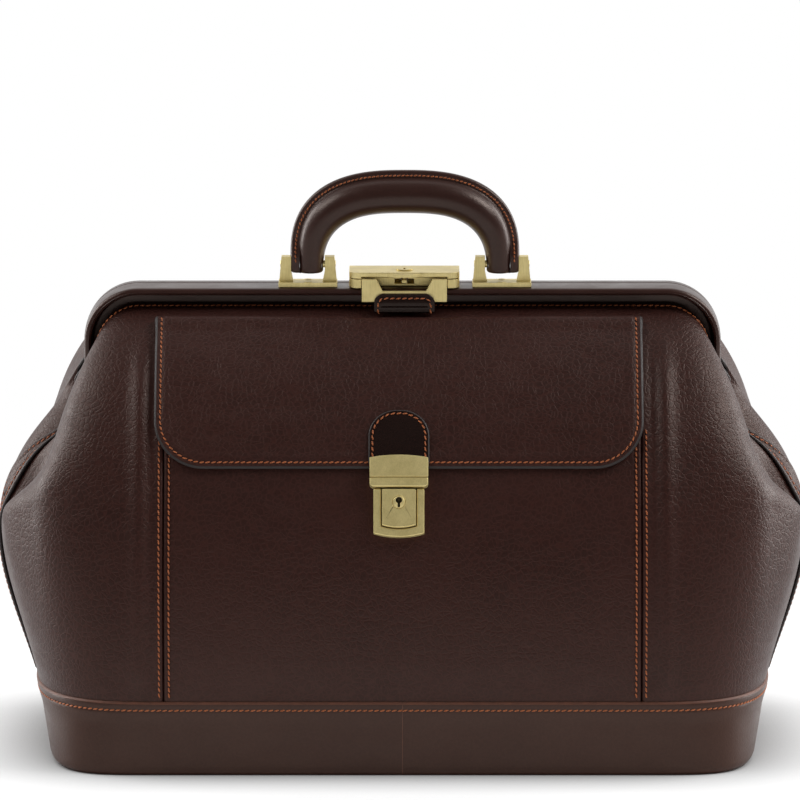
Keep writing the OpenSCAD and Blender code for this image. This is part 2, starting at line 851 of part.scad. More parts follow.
module tuck_lock_body() {
    color(brass) on_front(tuck_v) difference() {
        through(tuck_front, -0.5) arched_plate(tuck_half_w, tuck_high, tuck_low, 2);
        through(tuck_front - 1, seat_back)
            arched_plate(button_half_w + slide_gap, button_high + slide_gap,
                button_low - slide_gap, button_rise);
    }
}

module tuck_backplate() {
    color(steel) on_front(tuck_v) through(leather_t + 0.9, leather_t + 2.1)
        arched_plate(tuck_half_w - 1, tuck_high - 1, tuck_low + 1, 2);
}

module tuck_button() {
    color(brass) on_front(tuck_v) difference() {
        through(button_front, button_back)
            arched_plate(button_half_w, button_high, button_low, button_rise);
        translate([0, 0, key_z]) rotate([90, 0, 0]) cylinder(r = plug_r + running, h = 30, center = true);
    }
}

module tuck_spring() {
    color(steel) on_front(tuck_v) translate([0, seat_back - 0.05, -4]) rotate([90, 0, 0]) difference() {
        cylinder(r = 4, h = button_travel);
        translate([0, 0, -1]) cylinder(r = 3, h = 4);
    }
}

module tuck_key_plug() {
    color(bronze) on_front(tuck_v) difference() {
        translate([0, button_back - 0.2, key_z]) rotate([90, 0, 0]) cylinder(r = plug_r, h = 3.6);
        through(button_front - 2, button_front + 1.6) translate([-0.5, key_z - 2.6]) square([1, 3]);
        translate([0, button_front + 1.6, key_z + 1]) rotate([90, 0, 0]) cylinder(r = 1.3, h = 4);
    }
}

hasp_half = 16;
hasp_in = flap_tab_d_out - 0.4;
hasp_out = hasp_in - 2.2;
clip_low = -10.7;
clip_high = -5.4;
plate_high = 7.2;
rivet_x = 11;
rivet_z = 1;
rivet_r = 1.5;
rivet_len = 1.4;
clip_r = 2.5;

module hasp_plate() {
    color(brass) on_front(hasp_v) difference() {
        through(hasp_out, hasp_in) arched_plate(hasp_half, clip_high + 0.2, plate_high, 1.5);
        for (s = [-1, 1]) translate([s * rivet_x, hasp_in + 1, rivet_z]) rotate([90, 0, 0])
            cylinder(r = rivet_r + 0.01, h = rivet_len + 1.05);
    }
}

module hasp_clip() {
    color(brass) on_front(hasp_v) through(hasp_out + 0.3, -1.2)
        union() {
            translate([-hasp_half, clip_low + clip_r]) square([2 * hasp_half, clip_high - clip_low - clip_r]);
            translate([clip_r - hasp_half, clip_low]) square([2 * (hasp_half - clip_r), clip_r + 0.1]);
            for (s = [-1, 1]) translate([s * (hasp_half - clip_r), clip_low + clip_r]) circle(clip_r);
        }
}

module hasp_rivets() {
    color(brass) on_front(hasp_v) for (s = [-1, 1]) translate([s * rivet_x, hasp_in, rivet_z])
        rotate([90, 0, 0]) cylinder(r = rivet_r, h = rivet_len);
}

bottom_panel();
base_board();
base_band_left();
base_band_right();
front_wall();
pocket_front();
front_side_left();
front_side_right();
side_strip_left();
side_strip_right();
back_panel();
back_side_left();
back_side_right();
back_panel_upper();
back_side_upper_left();
back_side_upper_right();
lining_front();
lining_back();
lining_back_upper();
front_frame();
front_frame_wrap();
hinge_pins();
bracket_left();
bracket_right();
bracket_screws();
handle_pins();
lock_base();
lock_apron();
lock_tab();
tuck_lock_body();
tuck_backplate();
tuck_spring();
back_frame();
back_frame_wrap();
lock_hinge_plate();
lock_hinge_pin();
handle_core();
handle_grip();
lock_cover();
lock_key_plug();
pocket_flap();
flap_tab();
hasp_plate();
hasp_clip();
hasp_rivets();
tuck_button();
tuck_key_plug();
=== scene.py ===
import math

import bmesh
import bpy
import numpy as np
from bpy.props import FloatProperty, FloatVectorProperty, PointerProperty
from bpy.types import Operator, Panel, PropertyGroup
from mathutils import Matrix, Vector


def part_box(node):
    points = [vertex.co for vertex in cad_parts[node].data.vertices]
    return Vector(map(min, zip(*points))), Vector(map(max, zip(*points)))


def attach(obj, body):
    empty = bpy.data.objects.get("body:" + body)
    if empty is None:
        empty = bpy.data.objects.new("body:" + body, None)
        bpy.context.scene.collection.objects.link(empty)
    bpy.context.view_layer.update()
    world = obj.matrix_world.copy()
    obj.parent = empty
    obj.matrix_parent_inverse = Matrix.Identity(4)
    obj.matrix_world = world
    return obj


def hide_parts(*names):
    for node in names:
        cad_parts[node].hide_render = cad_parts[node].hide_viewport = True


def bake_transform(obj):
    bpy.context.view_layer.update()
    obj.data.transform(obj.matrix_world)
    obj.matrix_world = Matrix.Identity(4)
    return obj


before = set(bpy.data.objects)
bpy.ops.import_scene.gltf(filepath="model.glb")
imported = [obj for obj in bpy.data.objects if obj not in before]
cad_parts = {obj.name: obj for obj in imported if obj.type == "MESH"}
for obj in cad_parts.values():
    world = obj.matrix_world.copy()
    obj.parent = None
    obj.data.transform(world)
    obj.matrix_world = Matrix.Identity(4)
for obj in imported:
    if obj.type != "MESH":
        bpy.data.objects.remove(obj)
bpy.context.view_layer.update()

bl_info = {
    "name": "Framed Leather Bag",
    "version": (1, 0, 0),
    "blender": (4, 5, 0),
    "location": "3D View > Sidebar > Bag",
    "description": "Dresses a framed leather bag with its leather, stitches, fittings and stage",
    "category": "Object",
}


# Settings

def length(name, default, description):
    """A size in metres."""
    return FloatProperty(name=name, description=description, default=default, unit="LENGTH", precision=5)


def share(name, default, description):
    """A share, from -1 to 1."""
    return FloatProperty(
        name=name, description=description, default=default, min=-1.0, max=1.0, subtype="FACTOR")


def curve_power(name, default, description):
    """Power of a rounded outline, from 2, an ellipse, to 5, nearly a box."""
    return FloatProperty(name=name, description=description, default=default, min=2.0, max=5.0)


def tilt(name, degrees, description):
    """An angle, given in degrees."""
    return FloatProperty(name=name, description=description, default=math.radians(degrees), subtype="ANGLE")


def amount(name, default, description):
    """A plain number."""
    return FloatProperty(name=name, description=description, default=default)


def colour(name, default, description):
    """A linear colour."""
    return FloatVectorProperty(
        name=name, description=description, default=default, size=3, min=0.0, max=1.0, subtype="COLOR")


class BagBodySizes(PropertyGroup):
    """Sizes of the leather body and its base."""
    seam_half: length("Seam half width", 0.131, "From the middle of the front to the pocket seam")
    base_half_w: length("Base half width", 0.2022, "Half of the width over the top edge of the base band")
    base_half_d: length("Base half depth", 0.105, "Half of the depth over the top edge of the base band")
    floor_half_w: length("Floor half width", 0.1945, "Half of the width at the floor")
    floor_half_d: length("Floor half depth", 0.1045, "Half of the depth at the floor")
    edge_height: length("Bottom edge height", 0.005, "Height of the rounded bottom edge")
    edge_in: length("Bottom edge inset", 0.0035, "How far the rounded bottom edge draws in")
    band_height: length("Band height", 0.040, "Height of the base band")
    band_lip: length("Band lip", 0.0012, "How far the top edge of the band stands out")
    plan_power: curve_power("Plan power", 3.0, "Squareness of the rounded ends in plan")
    floor_power: curve_power("Floor power", 4.4, "Squareness of the rounded ends at the floor")
    shoulder: length("Front swell", 0.070, "How far the front swells outwards from the mouth")
    side_swell: length("Side swell", 0.0674, "How far the sides swell outwards from the mouth")
    lean_out: length("Front lean", 0.010, "How far the front leans out just above the band")
    side_lean: length("Side lean", 0.0144, "How far the sides lean out just above the band")
    leather: length("Leather thickness", 0.0024, "Thickness of the leather")
    pocket_depth: length("Pocket depth", 0.013, "Depth of the pocket behind its front")
    strip_half: length("Side strip half width", 0.008, "Half of the width of the strip over the side seam")


class BagFrontFold(PropertyGroup):
    """How the front corners fold in between the front and the sides."""
    depth: length("Fold depth", 0.051, "How deep the corner folds in")
    place: share("Fold place", 0.662, "Where the fold lies, from the seam to the side")
    width: share("Fold width", 0.2065, "How wide the fold is")
    lean: length("Fold lean", 0.0116, "How far the corner leans out below its fold")
    drop: share("Fold drop", 0.239, "How far the fold reaches down")
    turn_start: share("Turn start", 0.14, "Where the swell begins to turn to the side")
    turn_end: share("Turn end", 0.747, "Where the swell points straight to the side")
    rise_start: share("Fold start", 0.5, "Share of the wall's height at which the fold begins")
    rise_end: share("Fold end", 0.7, "Share of the wall's height at which the fold is at its deepest")


class BagBackFold(PropertyGroup):
    """How the back corners fold in between the back and the sides."""
    depth: length("Fold depth", 0.039, "How deep the corner folds in")
    place: share("Fold place", 0.621, "Where the fold lies, from the seam to the side")
    width: share("Fold width", 0.13, "How wide the fold is")
    lean: length("Fold lean", 0.013, "How far the corner leans out below its fold")
    drop: share("Fold drop", 0.058, "How far the fold reaches down")
    turn_start: share("Turn start", 0.0, "Where the swell begins to turn to the side")
    turn_end: share("Turn end", 0.889, "Where the swell points straight to the side")
    rise_start: share("Fold start", -1.0, "Share of the wall's height at which the fold begins")
    rise_end: share("Fold end", 0.0, "Share of the wall's height at which the fold is at its deepest")


class BagFrameSizes(PropertyGroup):
    """Sizes of the mouth frame and of the handle."""
    half_w: length("Frame half width", 0.176, "Half of the width over the frame")
    top: length("Frame top", 0.256, "Height of the top of the frame")
    corner: length("Frame corner radius", 0.030, "Outer radius of the frame's corners")
    hinge: length("Hinge height", 0.166, "Height of the hinge axis")
    strip_depth: length("Strip depth", 0.020, "From the middle of the bag to the edge of the strip")
    lip: length("Strip thickness", 0.0045, "Thickness of the frame's top strip")
    handle_shift: length("Handle offset", 0.0013, "Sideways offset of the handle")
    handle_y: length("Handle depth", -0.009, "Place of the handle along the depth")
    handle_half: length("Handle half width", 0.0541, "Half width of the handle's middle line")
    handle_foot: length("Handle foot height", 0.2645, "Height of the flat ends of the handle's legs")
    handle_rise: length("Handle rise", 0.0439, "Rise of the handle's middle line over its feet")
    handle_thick: length("Grip half thickness", 0.0120, "Half of the thickness in the middle of the grip")
    handle_leg: length("Leg half thickness", 0.0090, "Half of the thickness at the foot of a leg")


class BagFlapSizes(PropertyGroup):
    """Sizes of the pocket flap and its tab."""
    half_w: length("Flap half width", 0.1325, "Half of the width of the flap")
    shift: length("Flap offset", -0.002, "Sideways offset of the flap and its lock")
    corner: length("Flap corner radius", 0.026, "Radius of the flap's bottom corners")
    clear: length("Flap clearance", 0.0008, "Room between the flap and the front")
    thick: length("Flap thickness", 0.0026, "Thickness of the flap")
    tab_half: length("Tab half width", 0.0159, "Half of the width of the tab on the flap")
    tab_round: length("Tab rounding", 0.0145, "Radius of the tab's round top")
    tab_thick: length("Tab thickness", 0.0016, "Thickness of the tab")


class BagStitchSizes(PropertyGroup):
    """Sizes of the sewing."""
    pitch: length("Stitch pitch", 0.0032, "Distance from one stitch to the next")
    run: length("Stitch length", 0.0029, "Length of the thread that shows of one stitch")
    width: length("Thread width", 0.00095, "Width of the thread")
    height: length("Thread height", 0.00080, "Thickness of the thread over the leather")
    lean: tilt("Stitch lean", 14, "Turn of each stitch against its row")


class BagColours(PropertyGroup):
    """Colours of the finishes."""
    leather: colour("Leather", (0.0215, 0.0063, 0.0048), "Body leather")
    leather_light: colour("Leather, lighter", (0.0410, 0.0124, 0.0094), "Lighter clouds in the body leather")
    polished: colour("Polished leather", (0.0240, 0.0080, 0.0060), "Leather of the handle and the mouth")
    polished_light: colour("Polished leather, lighter", (0.0400, 0.0134, 0.0102), "Lighter clouds in it")
    # Tab leather: darker than the body leather as painted shade, for the shade on the smooth flap tab and
    # the shadow under the frame on the lock's tab
    tab: colour("Tab leather", (0.0090, 0.0034, 0.0027), "Dark smooth leather of the tabs")
    tab_light: colour("Tab leather, lighter", (0.0150, 0.0058, 0.0044), "Lighter clouds in the tabs")
    base: colour("Base leather", (0.0380, 0.0155, 0.0110), "Leather of the base band")
    base_light: colour("Base leather, lighter", (0.0540, 0.0230, 0.0160), "Lighter clouds in the base")
    # Burnished edge of the base band, lighter than the leather: partly its own colour, partly a painted
    # highlight along its rolled top
    base_edge_and_highlight: colour("Base edge", (0.140, 0.0480, 0.0240), "Worn rolled edge of the base band")
    paint: colour("Edge paint", (0.026, 0.0160, 0.0135), "Painted cut edges")
    thread: colour("Thread", (0.520, 0.1500, 0.0420), "Sewing thread")
    thread_dark: colour("Thread, darker", (0.260, 0.0640, 0.0170), "Shaded side of the sewing thread")
    brass: colour("Brass", (0.900, 0.7500, 0.3450), "Antique brass")
    brass_dark: colour("Brass, darker", (0.660, 0.5300, 0.2200), "Tarnish on the antique brass")
    # Near-black metal inside the keyhole: painted shade for the depth of the hole
    bronze: colour("Bronze", (0.120, 0.0950, 0.0500), "Darkened bronze")
    steel: colour("Steel", (0.500, 0.5000, 0.5000), "Plain steel")
    lining: colour("Lining", (0.260, 0.1700, 0.0900), "Twill lining")
    board: colour("Board", (0.200, 0.1400, 0.0800), "Fibre board")
    floor: colour("Floor", (0.800, 0.8000, 0.8000), "Studio floor")


class BagStageSettings(PropertyGroup):
    """Camera and lamps."""
    target_x: length("Target side", -0.0014, "Where the camera looks, sideways")
    target_z: length("Target height", 0.190, "Where the camera looks, upwards")
    distance: length("Camera distance", 4.5, "From the target to the camera")
    elevation: tilt("Camera elevation", 10, "Angle of the camera over the level")
    lens: amount("Lens", 364.9, "Focal length in millimetres")
    side_power: amount("Side lamps", 40.0, "Power of a side lamp in watts, before its own share")
    edge_power: amount("Edge lamps", 30.0, "Power of each lamp behind the sides in watts")
    ambient: share("Ambient light", 0.05, "Strength of the even light from all round")
    front_gloss: share("Front reflection", 0.16, "Brightness of the room in front in glossy surfaces")


# Shape of the leather

# u at the pocket seam, where the flat front ends, and how the columns spread round the end
FLAT_U = 0.4
END_PACE = 1.35
# Sewn edge under the frame: its inset, its depth at the bar and how its leg turns outwards
EDGE_IN = 0.009
EDGE_Y = 0.0114
LEG_ROOM = 0.001
LEG_OUT = 0.014
LEG_TURN = 0.38
# Curve from the band to the mouth, as shares of its rise
LOW_RISE = 0.375
DROP_FRONT = 0.17
DROP_SIDE = 0.2275
# Share of the rounded end from which the corner fold fades out
FOLD_FADE = 0.8
# Room between the band and the foot of the leather
BAND_GAP = 0.0003
# Values of v at which the pieces of the front begin and end
POCKET_TOP_V = 0.83
WALL_RISE_V = 0.09
FLAP_LOW_V = 0.5355
FLAP_TOP_V = 0.934
TAB_LOW_V = 0.5415
TAB_TOP_V = 0.6622
TUCK_V = 0.433
TOP_V = 0.995


def smooth(t):
    """Eases from 0 to 1."""
    s = np.clip(t, 0.0, 1.0)
    return s * s * (3.0 - 2.0 * s)


def hump(x, centre, width):
    """A soft hump of height 1."""
    return np.exp(-((x - centre) / width) ** 2)


def mix(a, b, t):
    return a + (b - a) * t


def unit(vectors):
    return vectors / np.maximum(np.linalg.norm(vectors, axis=-1, keepdims=True), 1e-12)


class BagForm:
    """Outer surface of the leather.

    u runs from the front middle to the side middle, v from the band to the mouth.
    """

    def __init__(self, body, mouth, fold):
        self.body = body
        self.fold = fold
        self.seam = body.seam_half
        self.corner_x = mouth.half_w - mouth.corner
        self.corner_z = mouth.top - mouth.corner
        self.edge_r = mouth.corner - EDGE_IN
        self.leg_y = mouth.strip_depth + LEG_ROOM
        self.leg_len = self.corner_z - mouth.hinge
        self.arc_len = self.edge_r * math.pi / 2
        self.edge_end = self.corner_x + self.arc_len + self.leg_len

    def side_share(self, u):
        return np.clip((np.abs(u) - FLAT_U) / (1.0 - FLAT_U), 0.0, 1.0)

    def plan(self, u, half_w, half_d, squareness):
        """Outline of the base in plan."""
        angle = math.pi / 2 * (1.0 - self.side_share(u)) ** END_PACE
        power = 2.0 / squareness
        flat = np.abs(u) <= FLAT_U
        x = np.where(flat, self.seam * np.abs(u) / FLAT_U,
                     self.seam + (half_w - self.seam) * np.clip(np.cos(angle), 0, 1) ** power)
        y = np.where(flat, -half_d, -half_d * np.sin(angle) ** power)
        return x, y

    def plan_out(self, u):
        """Outward direction of that outline."""
        x, y = self.plan(u, self.body.base_half_w, self.body.base_half_d, self.body.plan_power)
        width = self.body.base_half_w - self.seam
        power = self.body.plan_power - 1.0
        nx = (np.clip(x - self.seam, 0, None) / width) ** power / width
        ny = -(-y / self.body.base_half_d) ** power / self.body.base_half_d
        return unit(np.stack([nx, ny, np.zeros_like(nx)], axis=-1))

    def edge(self, u):
        """Sewn edge along the frame: bar, corner arc and leg."""
        s = np.where(np.abs(u) <= FLAT_U, self.seam * np.abs(u) / FLAT_U,
                     mix(self.seam, self.edge_end, self.side_share(u)))
        arc = np.clip((s - self.corner_x) / self.arc_len, 0, 1)
        leg = np.clip((s - self.corner_x - self.arc_len) / self.leg_len, 0, 1)
        x = (np.minimum(s, self.corner_x) + self.edge_r * np.sin(arc * math.pi / 2)
             + LEG_OUT * smooth(leg / LEG_TURN))
        y = -mix(EDGE_Y, self.leg_y, smooth(arc)) * (1.0 - smooth((leg - LEG_TURN) / (1.0 - LEG_TURN)))
        z = self.corner_z + self.edge_r * np.cos(arc * math.pi / 2) - self.leg_len * leg
        return np.stack([x, y, z], axis=-1)

    def skin(self, u, v):
        """Points of the front half's outer surface; negative u is the left."""
        u, v = np.broadcast_arrays(np.asarray(u, float), np.asarray(v, float))
        body, fold = self.body, self.fold
        x, y = self.plan(u, body.base_half_w, body.base_half_d, body.plan_power)
        foot = np.stack([x, y, np.full_like(x, body.band_height + BAND_GAP)], axis=-1)
        top = self.edge(u)
        out = self.plan_out(u)
        side = self.side_share(u)
        rise = (top[..., 2] - foot[..., 2])[..., None]
        up = np.array([0.0, 0.0, 1.0])
        deep = smooth((v - fold.rise_start) / (fold.rise_end - fold.rise_start))
        kept = 1.0 - smooth((side - FOLD_FADE) / (1.0 - FOLD_FADE))
        folded = deep * hump(side, fold.place, fold.width) * kept
        turn = -math.pi / 2 * (1.0 - smooth((side - fold.turn_start) / (fold.turn_end - fold.turn_start)))
        away = np.stack([np.cos(turn), np.sin(turn), np.zeros_like(turn)], axis=-1)
        swell = mix(body.shoulder, body.side_swell, side ** 2) - fold.depth * folded
        drop = mix(DROP_FRONT, DROP_SIDE, side) + fold.drop * folded
        lean = mix(body.lean_out, body.side_lean, side) + fold.lean * folded
        p1 = foot + up * LOW_RISE * rise + lean[..., None] * out
        p2 = top + swell[..., None] * away - up * drop[..., None] * rise
        w = v[..., None]
        points = (1 - w) ** 3 * foot + 3 * (1 - w) ** 2 * w * p1 + 3 * (1 - w) * w ** 2 * p2 + w ** 3 * top
        points[..., 0] *= np.where(u < 0, -1.0, 1.0)
        return points

    def outward(self, u, v, h=0.002):
        """Outward direction of that surface."""
        u, v = np.broadcast_arrays(np.asarray(u, float), np.asarray(v, float))
        du = self.skin(np.minimum(u + h, 1.0), v) - self.skin(np.maximum(u - h, -1.0), v)
        dv = self.skin(u, np.minimum(v + h, 1.0)) - self.skin(u, np.maximum(v - h, 0.0))
        return unit(np.cross(du, dv))

    def front_line(self, v, depth):
        """Middle line of the front, at a depth under the surface, as y and z."""
        v = np.asarray(v, float)
        points = self.skin(0.0, v) - np.asarray(depth)[..., None] * self.outward(0.0, v)
        return points[..., 1], points[..., 2]

    def u_at(self, v, value, axis):
        """The u at which a line of constant v reaches a half width (axis 0) or a half depth (axis 1)."""
        us = np.concatenate([np.linspace(0.0, 0.9, 200), np.linspace(0.9, 1.0, 200)[1:]])
        us = us if axis == 0 else us[us > 0.86]
        found = []
        for one_v, one_value in np.broadcast(v, value):
            reach = np.abs(self.skin(us, one_v)[:, axis])
            if axis == 0:
                top = int(np.argmax(reach))
                found.append(np.interp(one_value, reach[:top + 1], us[:top + 1]))
            else:
                found.append(np.interp(-one_value, -reach, us))
        return np.array(found)

    def band(self, p, z, inset):
        """Outside of the base band at a height; p runs from the front middle, 0, to the back middle, 2."""
        p, z = np.broadcast_arrays(np.asarray(p, float), np.asarray(z, float))
        body = self.body
        under = np.clip((body.edge_height - z) / body.edge_height, 0, 1)
        drawn = body.edge_in * (1.0 - np.sqrt(1.0 - under ** 2))
        level = z / body.band_height
        half_w = mix(body.floor_half_w, body.base_half_w, level) - drawn - inset
        half_d = mix(body.floor_half_d, body.base_half_d, level) - drawn - inset
        squareness = mix(body.floor_power, body.plan_power, level)
        x, y = self.plan(np.where(p <= 1.0, p, 2.0 - p), half_w, half_d, squareness)
        return np.stack([x, np.where(p <= 1.0, y, -y), z], axis=-1)


# Mesh helpers

def grid_normals(points):
    return unit(np.cross(np.gradient(points, axis=1), np.gradient(points, axis=0)))


def grid_faces(rows, cols, start=0, wrap=False):
    """Quads of a grid whose columns run round when wrap is set."""
    j, i = np.meshgrid(np.arange(rows - 1), np.arange(cols if wrap else cols - 1), indexing="ij")
    k = (i + 1) % cols
    return (start + np.stack([j * cols + i, j * cols + k, (j + 1) * cols + k, (j + 1) * cols + i], axis=-1)
            ).reshape(-1, 4)


def rim_indices(rows, cols):
    """Border of a grid, in the direction that keeps the sheet on its left."""
    low = [(0, i) for i in range(cols - 1)]
    right = [(j, cols - 1) for j in range(rows - 1)]
    top = [(rows - 1, i) for i in range(cols - 1, 0, -1)]
    left = [(j, 0) for j in range(rows - 1, 0, -1)]
    return np.array(low + right + top + left)


def sheet(points, thickness, rim_steps=5):
    """A sheet under the given outer face, with half-round edges.

    Gives its points, its faces and the number of the first face of its rim.
    """
    rows, cols = points.shape[:2]
    normals = grid_normals(points)
    thick = np.broadcast_to(np.asarray(thickness, float), (rows, cols))[..., None]
    inner = points - normals * thick
    rim = rim_indices(rows, cols)
    outer_ids = rim[:, 0] * cols + rim[:, 1]
    count = rows * cols
    p, n = points[rim[:, 0], rim[:, 1]], normals[rim[:, 0], rim[:, 1]]
    t = thick[rim[:, 0], rim[:, 1]]
    along = unit(np.roll(p, -1, axis=0) - np.roll(p, 1, axis=0))
    aside = unit(np.cross(along, n))
    rings, verts = [outer_ids], [points.reshape(-1, 3), inner.reshape(-1, 3)]
    for k in range(1, rim_steps):
        angle = math.pi * k / rim_steps
        verts.append(p - n * t / 2 + t / 2 * (math.cos(angle) * n + math.sin(angle) * aside))
        rings.append(2 * count + (k - 1) * len(rim) + np.arange(len(rim)))
    rings.append(count + outer_ids)
    quads = grid_faces(rows, cols)
    faces = [quads, (count + quads)[:, ::-1]]
    first_rim = 2 * len(quads)
    for a, b in zip(rings, rings[1:]):
        faces.append(np.stack([a, b, np.roll(b, -1), np.roll(a, -1)], axis=-1))
    return np.concatenate(verts), np.concatenate(faces), first_rim


def sweep(rings):
    """A tube through rings of points, closed at both ends."""
    rows, cols = rings.shape[:2]
    quads = grid_faces(rows, cols, wrap=True)
    verts = np.concatenate([rings.reshape(-1, 3), rings[:1].mean(axis=1), rings[-1:].mean(axis=1)])
    ids = np.arange(cols)
    first = np.stack([np.full(cols, rows * cols), np.roll(ids, -1), ids], axis=-1)
    last_ids = (rows - 1) * cols + ids
    last = np.stack([np.full(cols, rows * cols + 1), last_ids, np.roll(last_ids, -1)], axis=-1)
    return verts, [q.tolist() for q in quads] + first.tolist() + last.tolist()


def rounded(corners, steps=5):
    """Outline through corners given as x, y and rounding."""
    points = np.array([c[:2] for c in corners], float)
    outline = []
    for i, here in enumerate(points):
        radius = corners[i][2]
        before = unit(points[i - 1] - here) * radius
        after = unit(points[(i + 1) % len(points)] - here) * radius
        for t in np.linspace(0.0, 1.0, steps):
            outline.append(here + (1 - t) ** 2 * before + t ** 2 * after)
    return np.array(outline)


TO_LEFT = np.array([-1.0, 1.0, 1.0])
TO_BACK = np.array([1.0, -1.0, 1.0])


def mirror_left(points):
    """The same grid on the left, still facing outwards."""
    return points[:, ::-1] * TO_LEFT


def mirror_back(points):
    """The same grid on the back, still facing outwards."""
    return points[:, ::-1] * TO_BACK


def piece(name, verts, faces, materials, rim_from=None):
    """A new smooth mesh object; faces from rim_from on take the second material."""
    mesh = bpy.data.meshes.new(name)
    faces = faces.tolist() if isinstance(faces, np.ndarray) else faces
    mesh.from_pydata(np.asarray(verts).tolist(), [], faces)
    for material in materials:
        mesh.materials.append(material)
    if rim_from is not None:
        slots = np.zeros(len(faces), np.int32)
        slots[rim_from:] = 1
        mesh.polygons.foreach_set("material_index", slots)
    mesh.polygons.foreach_set("use_smooth", np.ones(len(faces), bool))
    mesh.validate()
    mesh.update()
    obj = bpy.data.objects.new(name, mesh)
    bpy.context.scene.collection.objects.link(obj)
    return obj


def fit(obj, body, nodes=()):
    """Puts a finished piece on its body in place of the frame's nodes."""
    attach(obj, body)
    if nodes:
        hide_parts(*nodes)
    return obj


def fit_bending(obj, nodes=()):
    """Bakes a finished soft piece's place into its mesh and hides the frame's nodes that it stands in for.
    """
    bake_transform(obj)
    if nodes:
        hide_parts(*nodes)
    return obj


def applied(obj):
    """The object with its modifiers made part of a new plain mesh."""
    graph = bpy.context.evaluated_depsgraph_get()
    mesh = bpy.data.meshes.new_from_object(obj.evaluated_get(graph))
    obj.modifiers.clear()
    old = obj.data
    obj.data = mesh
    bpy.data.meshes.remove(old)
    return obj


# Points closer than this are one, faces that meet flatter than this are one, and edges sharper than this
# are broken, in metres and degrees
WELD = 1e-6
FLAT_ANGLE = 0.8
SHARP_ANGLE = 28.0


def bevelled_copy(node_name, name, width, material, merge=True):
    """A copy of a frame node with its sharp edges broken."""
    source = bmesh.new()
    source.from_mesh(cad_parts[node_name].data)
    bmesh.ops.remove_doubles(source, verts=source.verts, dist=WELD)
    if merge:
        bmesh.ops.dissolve_limit(
            source, angle_limit=math.radians(FLAT_ANGLE), verts=source.verts, edges=source.edges)
    mesh = bpy.data.meshes.new(name)
    source.to_mesh(mesh)
    source.free()
    mesh.materials.clear()
    mesh.materials.append(material)
    mesh.polygons.foreach_set("use_smooth", np.ones(len(mesh.polygons), bool))
    obj = bpy.data.objects.new(name, mesh)
    bpy.context.scene.collection.objects.link(obj)
    bevel = obj.modifiers.new("edges", "BEVEL")
    bevel.harden_normals = True
    bevel.width = width
    bevel.segments = 3
    bevel.limit_method = "ANGLE"
    bevel.angle_limit = math.radians(SHARP_ANGLE)
    bevel.use_clamp_overlap = True
    flats = obj.modifiers.new("flats", "WEIGHTED_NORMAL")
    flats.mode = "FACE_AREA"
    flats.weight = 100
    applied(obj)
    obj.data.polygons.foreach_set("material_index", np.zeros(len(obj.data.polygons), np.int32))
    return obj


# Finishes

def node(tree, kind, inputs=None, **settings):
    """Adds a node; inputs hold values or the sockets to link."""
    made = tree.nodes.new(kind)
    for key, value in settings.items():
        setattr(made, key, value)
    for key, value in (inputs or {}).items():
        if isinstance(value, bpy.types.NodeSocket):
            tree.links.new(value, made.inputs[key])
        else:
            made.inputs[key].default_value = value
    return made


def new_finish(name):
    """A new material with its tree, its shader and the socket of the place on the piece."""
    material = bpy.data.materials.new(name)
    material.use_nodes = True
    tree = material.node_tree
    place = node(tree, "ShaderNodeTexCoord").outputs["Object"]
    return material, tree, tree.nodes["Principled BSDF"], place


def rgba(values):
    return (values[0], values[1], values[2], 1.0)


def noise(tree, place, scale, detail=3.0, roughness=0.5, distortion=0.0, output="Fac"):
    return node(tree, "ShaderNodeTexNoise", {
        "Vector": place, "Scale": scale, "Detail": detail, "Roughness": roughness,
        "Distortion": distortion}).outputs[output]


def combine(tree, operation, a, b):
    """A number made of two numbers."""
    return node(tree, "ShaderNodeMath", {0: a, 1: b}, operation=operation).outputs[0]


def ramp(tree, value, low, high, to_low, to_high):
    """Maps a value from one range onto another."""
    return node(tree, "ShaderNodeMapRange", {
        "Value": value, "From Min": low, "From Max": high, "To Min": to_low, "To Max": to_high}).outputs[0]


def blend_colours(tree, factor, a, b):
    made = node(tree, "ShaderNodeMix", {"Factor": factor}, data_type="RGBA")
    made.inputs[6].default_value = rgba(a)
    made.inputs[7].default_value = rgba(b)
    return made.outputs[2]


def weighted(tree, parts):
    """Sum of sockets, each times its weight."""
    total = None
    for socket, weight in parts:
        term = combine(tree, "MULTIPLY", socket, weight)
        total = term if total is None else combine(tree, "ADD", total, term)
    return total


def stain(tree, shader, tone, dark, light):
    """Colours a shader between two colours."""
    tree.links.new(blend_colours(tree, tone, dark, light), shader.inputs["Base Color"])


def relief(tree, shader, height, strength, distance):
    """Gives a shader a fine relief."""
    bump = node(tree, "ShaderNodeBump", {"Height": height, "Strength": strength, "Distance": distance})
    tree.links.new(bump.outputs[0], shader.inputs["Normal"])


def darker(tint, share_left):
    return [c * share_left for c in tint]


# Tint of the leather's gloss, how its creases are drawn out and how far its fine lines wander, in metres
WARM_GLOSS = (1.0, 0.84, 0.75)
CREASE_SCALE = (55.0, 55.0, 150.0)
LINE_PULL = (0.006, 0.006, 0.006)


